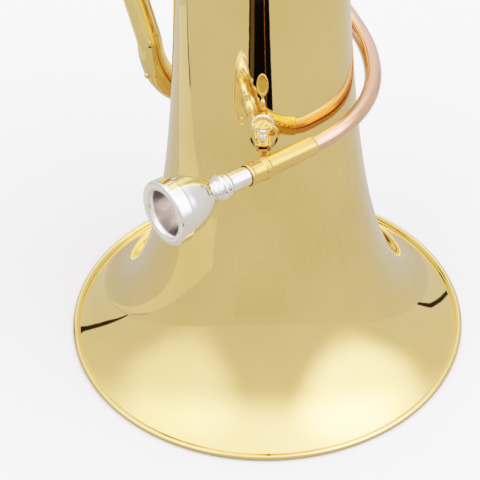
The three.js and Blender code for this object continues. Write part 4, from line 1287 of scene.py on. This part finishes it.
def thumb_screw():
    half = SCREW["thick"] / 2

    def dished(side):
        """The coin's face: a rolled edge around a shallow dish."""
        return [(0, side * (half - 0.55)), (3.5, side * (half - 0.5), 1.0), (5.1, side * (half - 0.25), 0.8),
                (5.8, side * half, 0.4), (6.5, side * half, 0.4), (6.85, side * (half - 0.35), 0.3)]

    coin = rounded(dished(-1) + [(6.9, 0, 0.3)] + dished(1)[::-1], 0.5)
    shank = rounded([(0, 4.8), (2.0, 4.8, 0.3), (2.1, 6.0, 0.5), (1.5, 7.2, 0.5), (1.45, 8.2, 0.3),
                     (2.0, 8.7, 0.5), (2.65, 9.8, 0.9), (2.75, 11.2, 1.2), (2.65, 12.6, 0.9),
                     (1.9, 13.6, 0.4), (1.65, 14.0, 0.2), (1.7, SCREW["end"], 0.2), (0, SCREW["end"])], 0.4)
    form("lyre_thumb_screw", join(lathe(coin, 112, screw_at(0), screw_face),
                                  lathe(shank, 56, screw_at(0), screw_down)), SILVER, "thumb_screw")


lyre_holder()
thumb_screw()

# ---- thumb ring and finger hook


def thumb_ring():
    z = mid_height("thumb_ring")
    away = -slide_side
    centre = at_height(valves[0], z) + away * (CASING["r"] + 12.4 + 3.1)
    angle = np.arange(97) * TAU / 96
    loop = [centre + 12.4 * (math.cos(a) * away + math.sin(a) * next_valve) for a in angle[:-1]]
    section = np.arange(28) * TAU / 28
    rows = []
    for a, p in zip(angle[:-1], loop):
        out = math.cos(a) * away + math.sin(a) * next_valve
        rows.append([p + 1.85 * math.cos(t) * out + 2.3 * math.sin(t) * UP for t in section])
    points = np.array(rows)
    ring = grid(points, wrap_rows=True)
    foot = at_height(valves[0], z) + away * CASING["r"]
    stub = turned([(0, -0.3), (4.4, 0.5, 0.8), (3.0, 1.6, 0.8), (2.6, 2.4), (2.8, 3.6), (0, 4.4)], 0.5, 48,
                  foot, away)
    base = patch(on_round(valves[0], lambda h: CASING["r"], azimuth_of(away), z), ellipse(5.6, 9.0),
                   FLANGE)
    form("thumb_ring", join(ring, stub, base), FITTING)


def finger_hook():
    high = box_of("finger_hook")[1][2]
    z = high - 4.0
    base = valves[3]
    stations = [(11.8, 0), (20, 0), (30, 3), (37, 12), (35, 23), (27, 29)]
    path = flowing([at_height(base, z - drop) + next_valve * d for d, drop in stations], None, 1.5)
    share = np.linspace(0, 1, len(path))
    sizes = np.interp(share, [0, 0.1, 0.5, 0.9, 0.97, 1.0], [1.0, 0.95, 0.95, 0.9, 0.7, 0.35])
    side = np.cross(next_valve, UP)
    angle = np.arange(36) * TAU / 36
    rows = []
    for k, (p, size) in enumerate(zip(path, sizes)):
        ahead, behind = path[min(k + 1, len(path) - 1)], path[max(k - 1, 0)]
        way = unit(ahead - behind)
        thick = np.cross(way, side)
        rows.append([p + size * (4.0 * math.cos(a) * side + 2.0 * math.sin(a) * thick) for a in angle])
    rows = [[path[0]] * 36] + rows + [[path[-1]] * 36]
    foot = patch(on_round(base, lambda h: CASING["r"], azimuth_of(next_valve), z), ellipse(6.2, 8.5),
                 FLANGE)
    form("finger_hook", join(grid(np.array(rows)), foot), FITTING)


thumb_ring()
finger_hook()

# ---- pieces that keep their CAD shape
for index in range(4):
    for node, material in ((f"piston_{index + 1}", STEEL), (f"valve_spring_{index + 1}", STEEL)):
        kept = frame["nodes"][node]
        kept.data.materials.clear()
        kept.data.materials.append(material)

# ---- the guard on the bottom bow


def bow_guard():
    """A worn cap over the crown: a thin plate along the bow, with a groove inside its border and a stud."""
    crown = np.argmax(bow_path[:, 2])
    turn = vec(0, bow_path[crown][1], 0)
    centre = at_height(turn, bow_path[crown][2] - BRANCH_AT[1] / 2)
    bow_r = np.linalg.norm(bow_path[crown] - centre)

    def size_at(angle):
        """The bow's outer radius at an angle from the crown, towards +Y."""
        target = centre + bow_r * vec(0, math.sin(angle), math.cos(angle))
        return bow_sizes[np.argmin(np.linalg.norm(bow_path - target, axis=1))]

    def place(a, b):
        """a: angle along the bow from the crown, b: angle around the tube from its top."""
        radial = vec(0, math.sin(a), math.cos(a))
        n = math.cos(b) * radial + math.sin(b) * vec(1, 0, 0)
        return centre + bow_r * radial + n * size_at(a), n

    half_a, half_b = math.radians(43), math.radians(72)

    def outline(t):
        """A rounded rectangle."""
        c, s = math.cos(t), math.sin(t)
        power = 0.38
        return vec(half_a * math.copysign(abs(c) ** power, c), half_b * math.copysign(abs(s) ** power, s))

    heights = [(share, 1.15) for share in np.linspace(0, 0.84, 22)]
    heights += [(0.86, 1.15), (0.872, 0.75), (0.885, 0.7), (0.90, 0.75), (0.912, 1.15), (0.93, 1.25),
                (0.97, 1.25), (0.99, 1.1), (1.0, 0.7)]
    shell = patch(place, outline, heights, under=0.25, spokes=320)
    top = bow_path[crown][2] + bow_sizes[crown]
    tip = box_of("bow_guard")[1][2] - top
    stud = turned([(0, 0.5), (6.0, 0.9, 0.5), (6.0, 1.8, 0.5), (5.0, tip - 2.4, 0.6), (3.6, tip - 0.7, 1.2),
                   (1.6, tip - 0.1, 1.0), (0, tip)], 0.6, 56, vec(0, bow_path[crown][1], top))
    form("bow_guard", join(shell, stud), FITTING)


bow_guard()
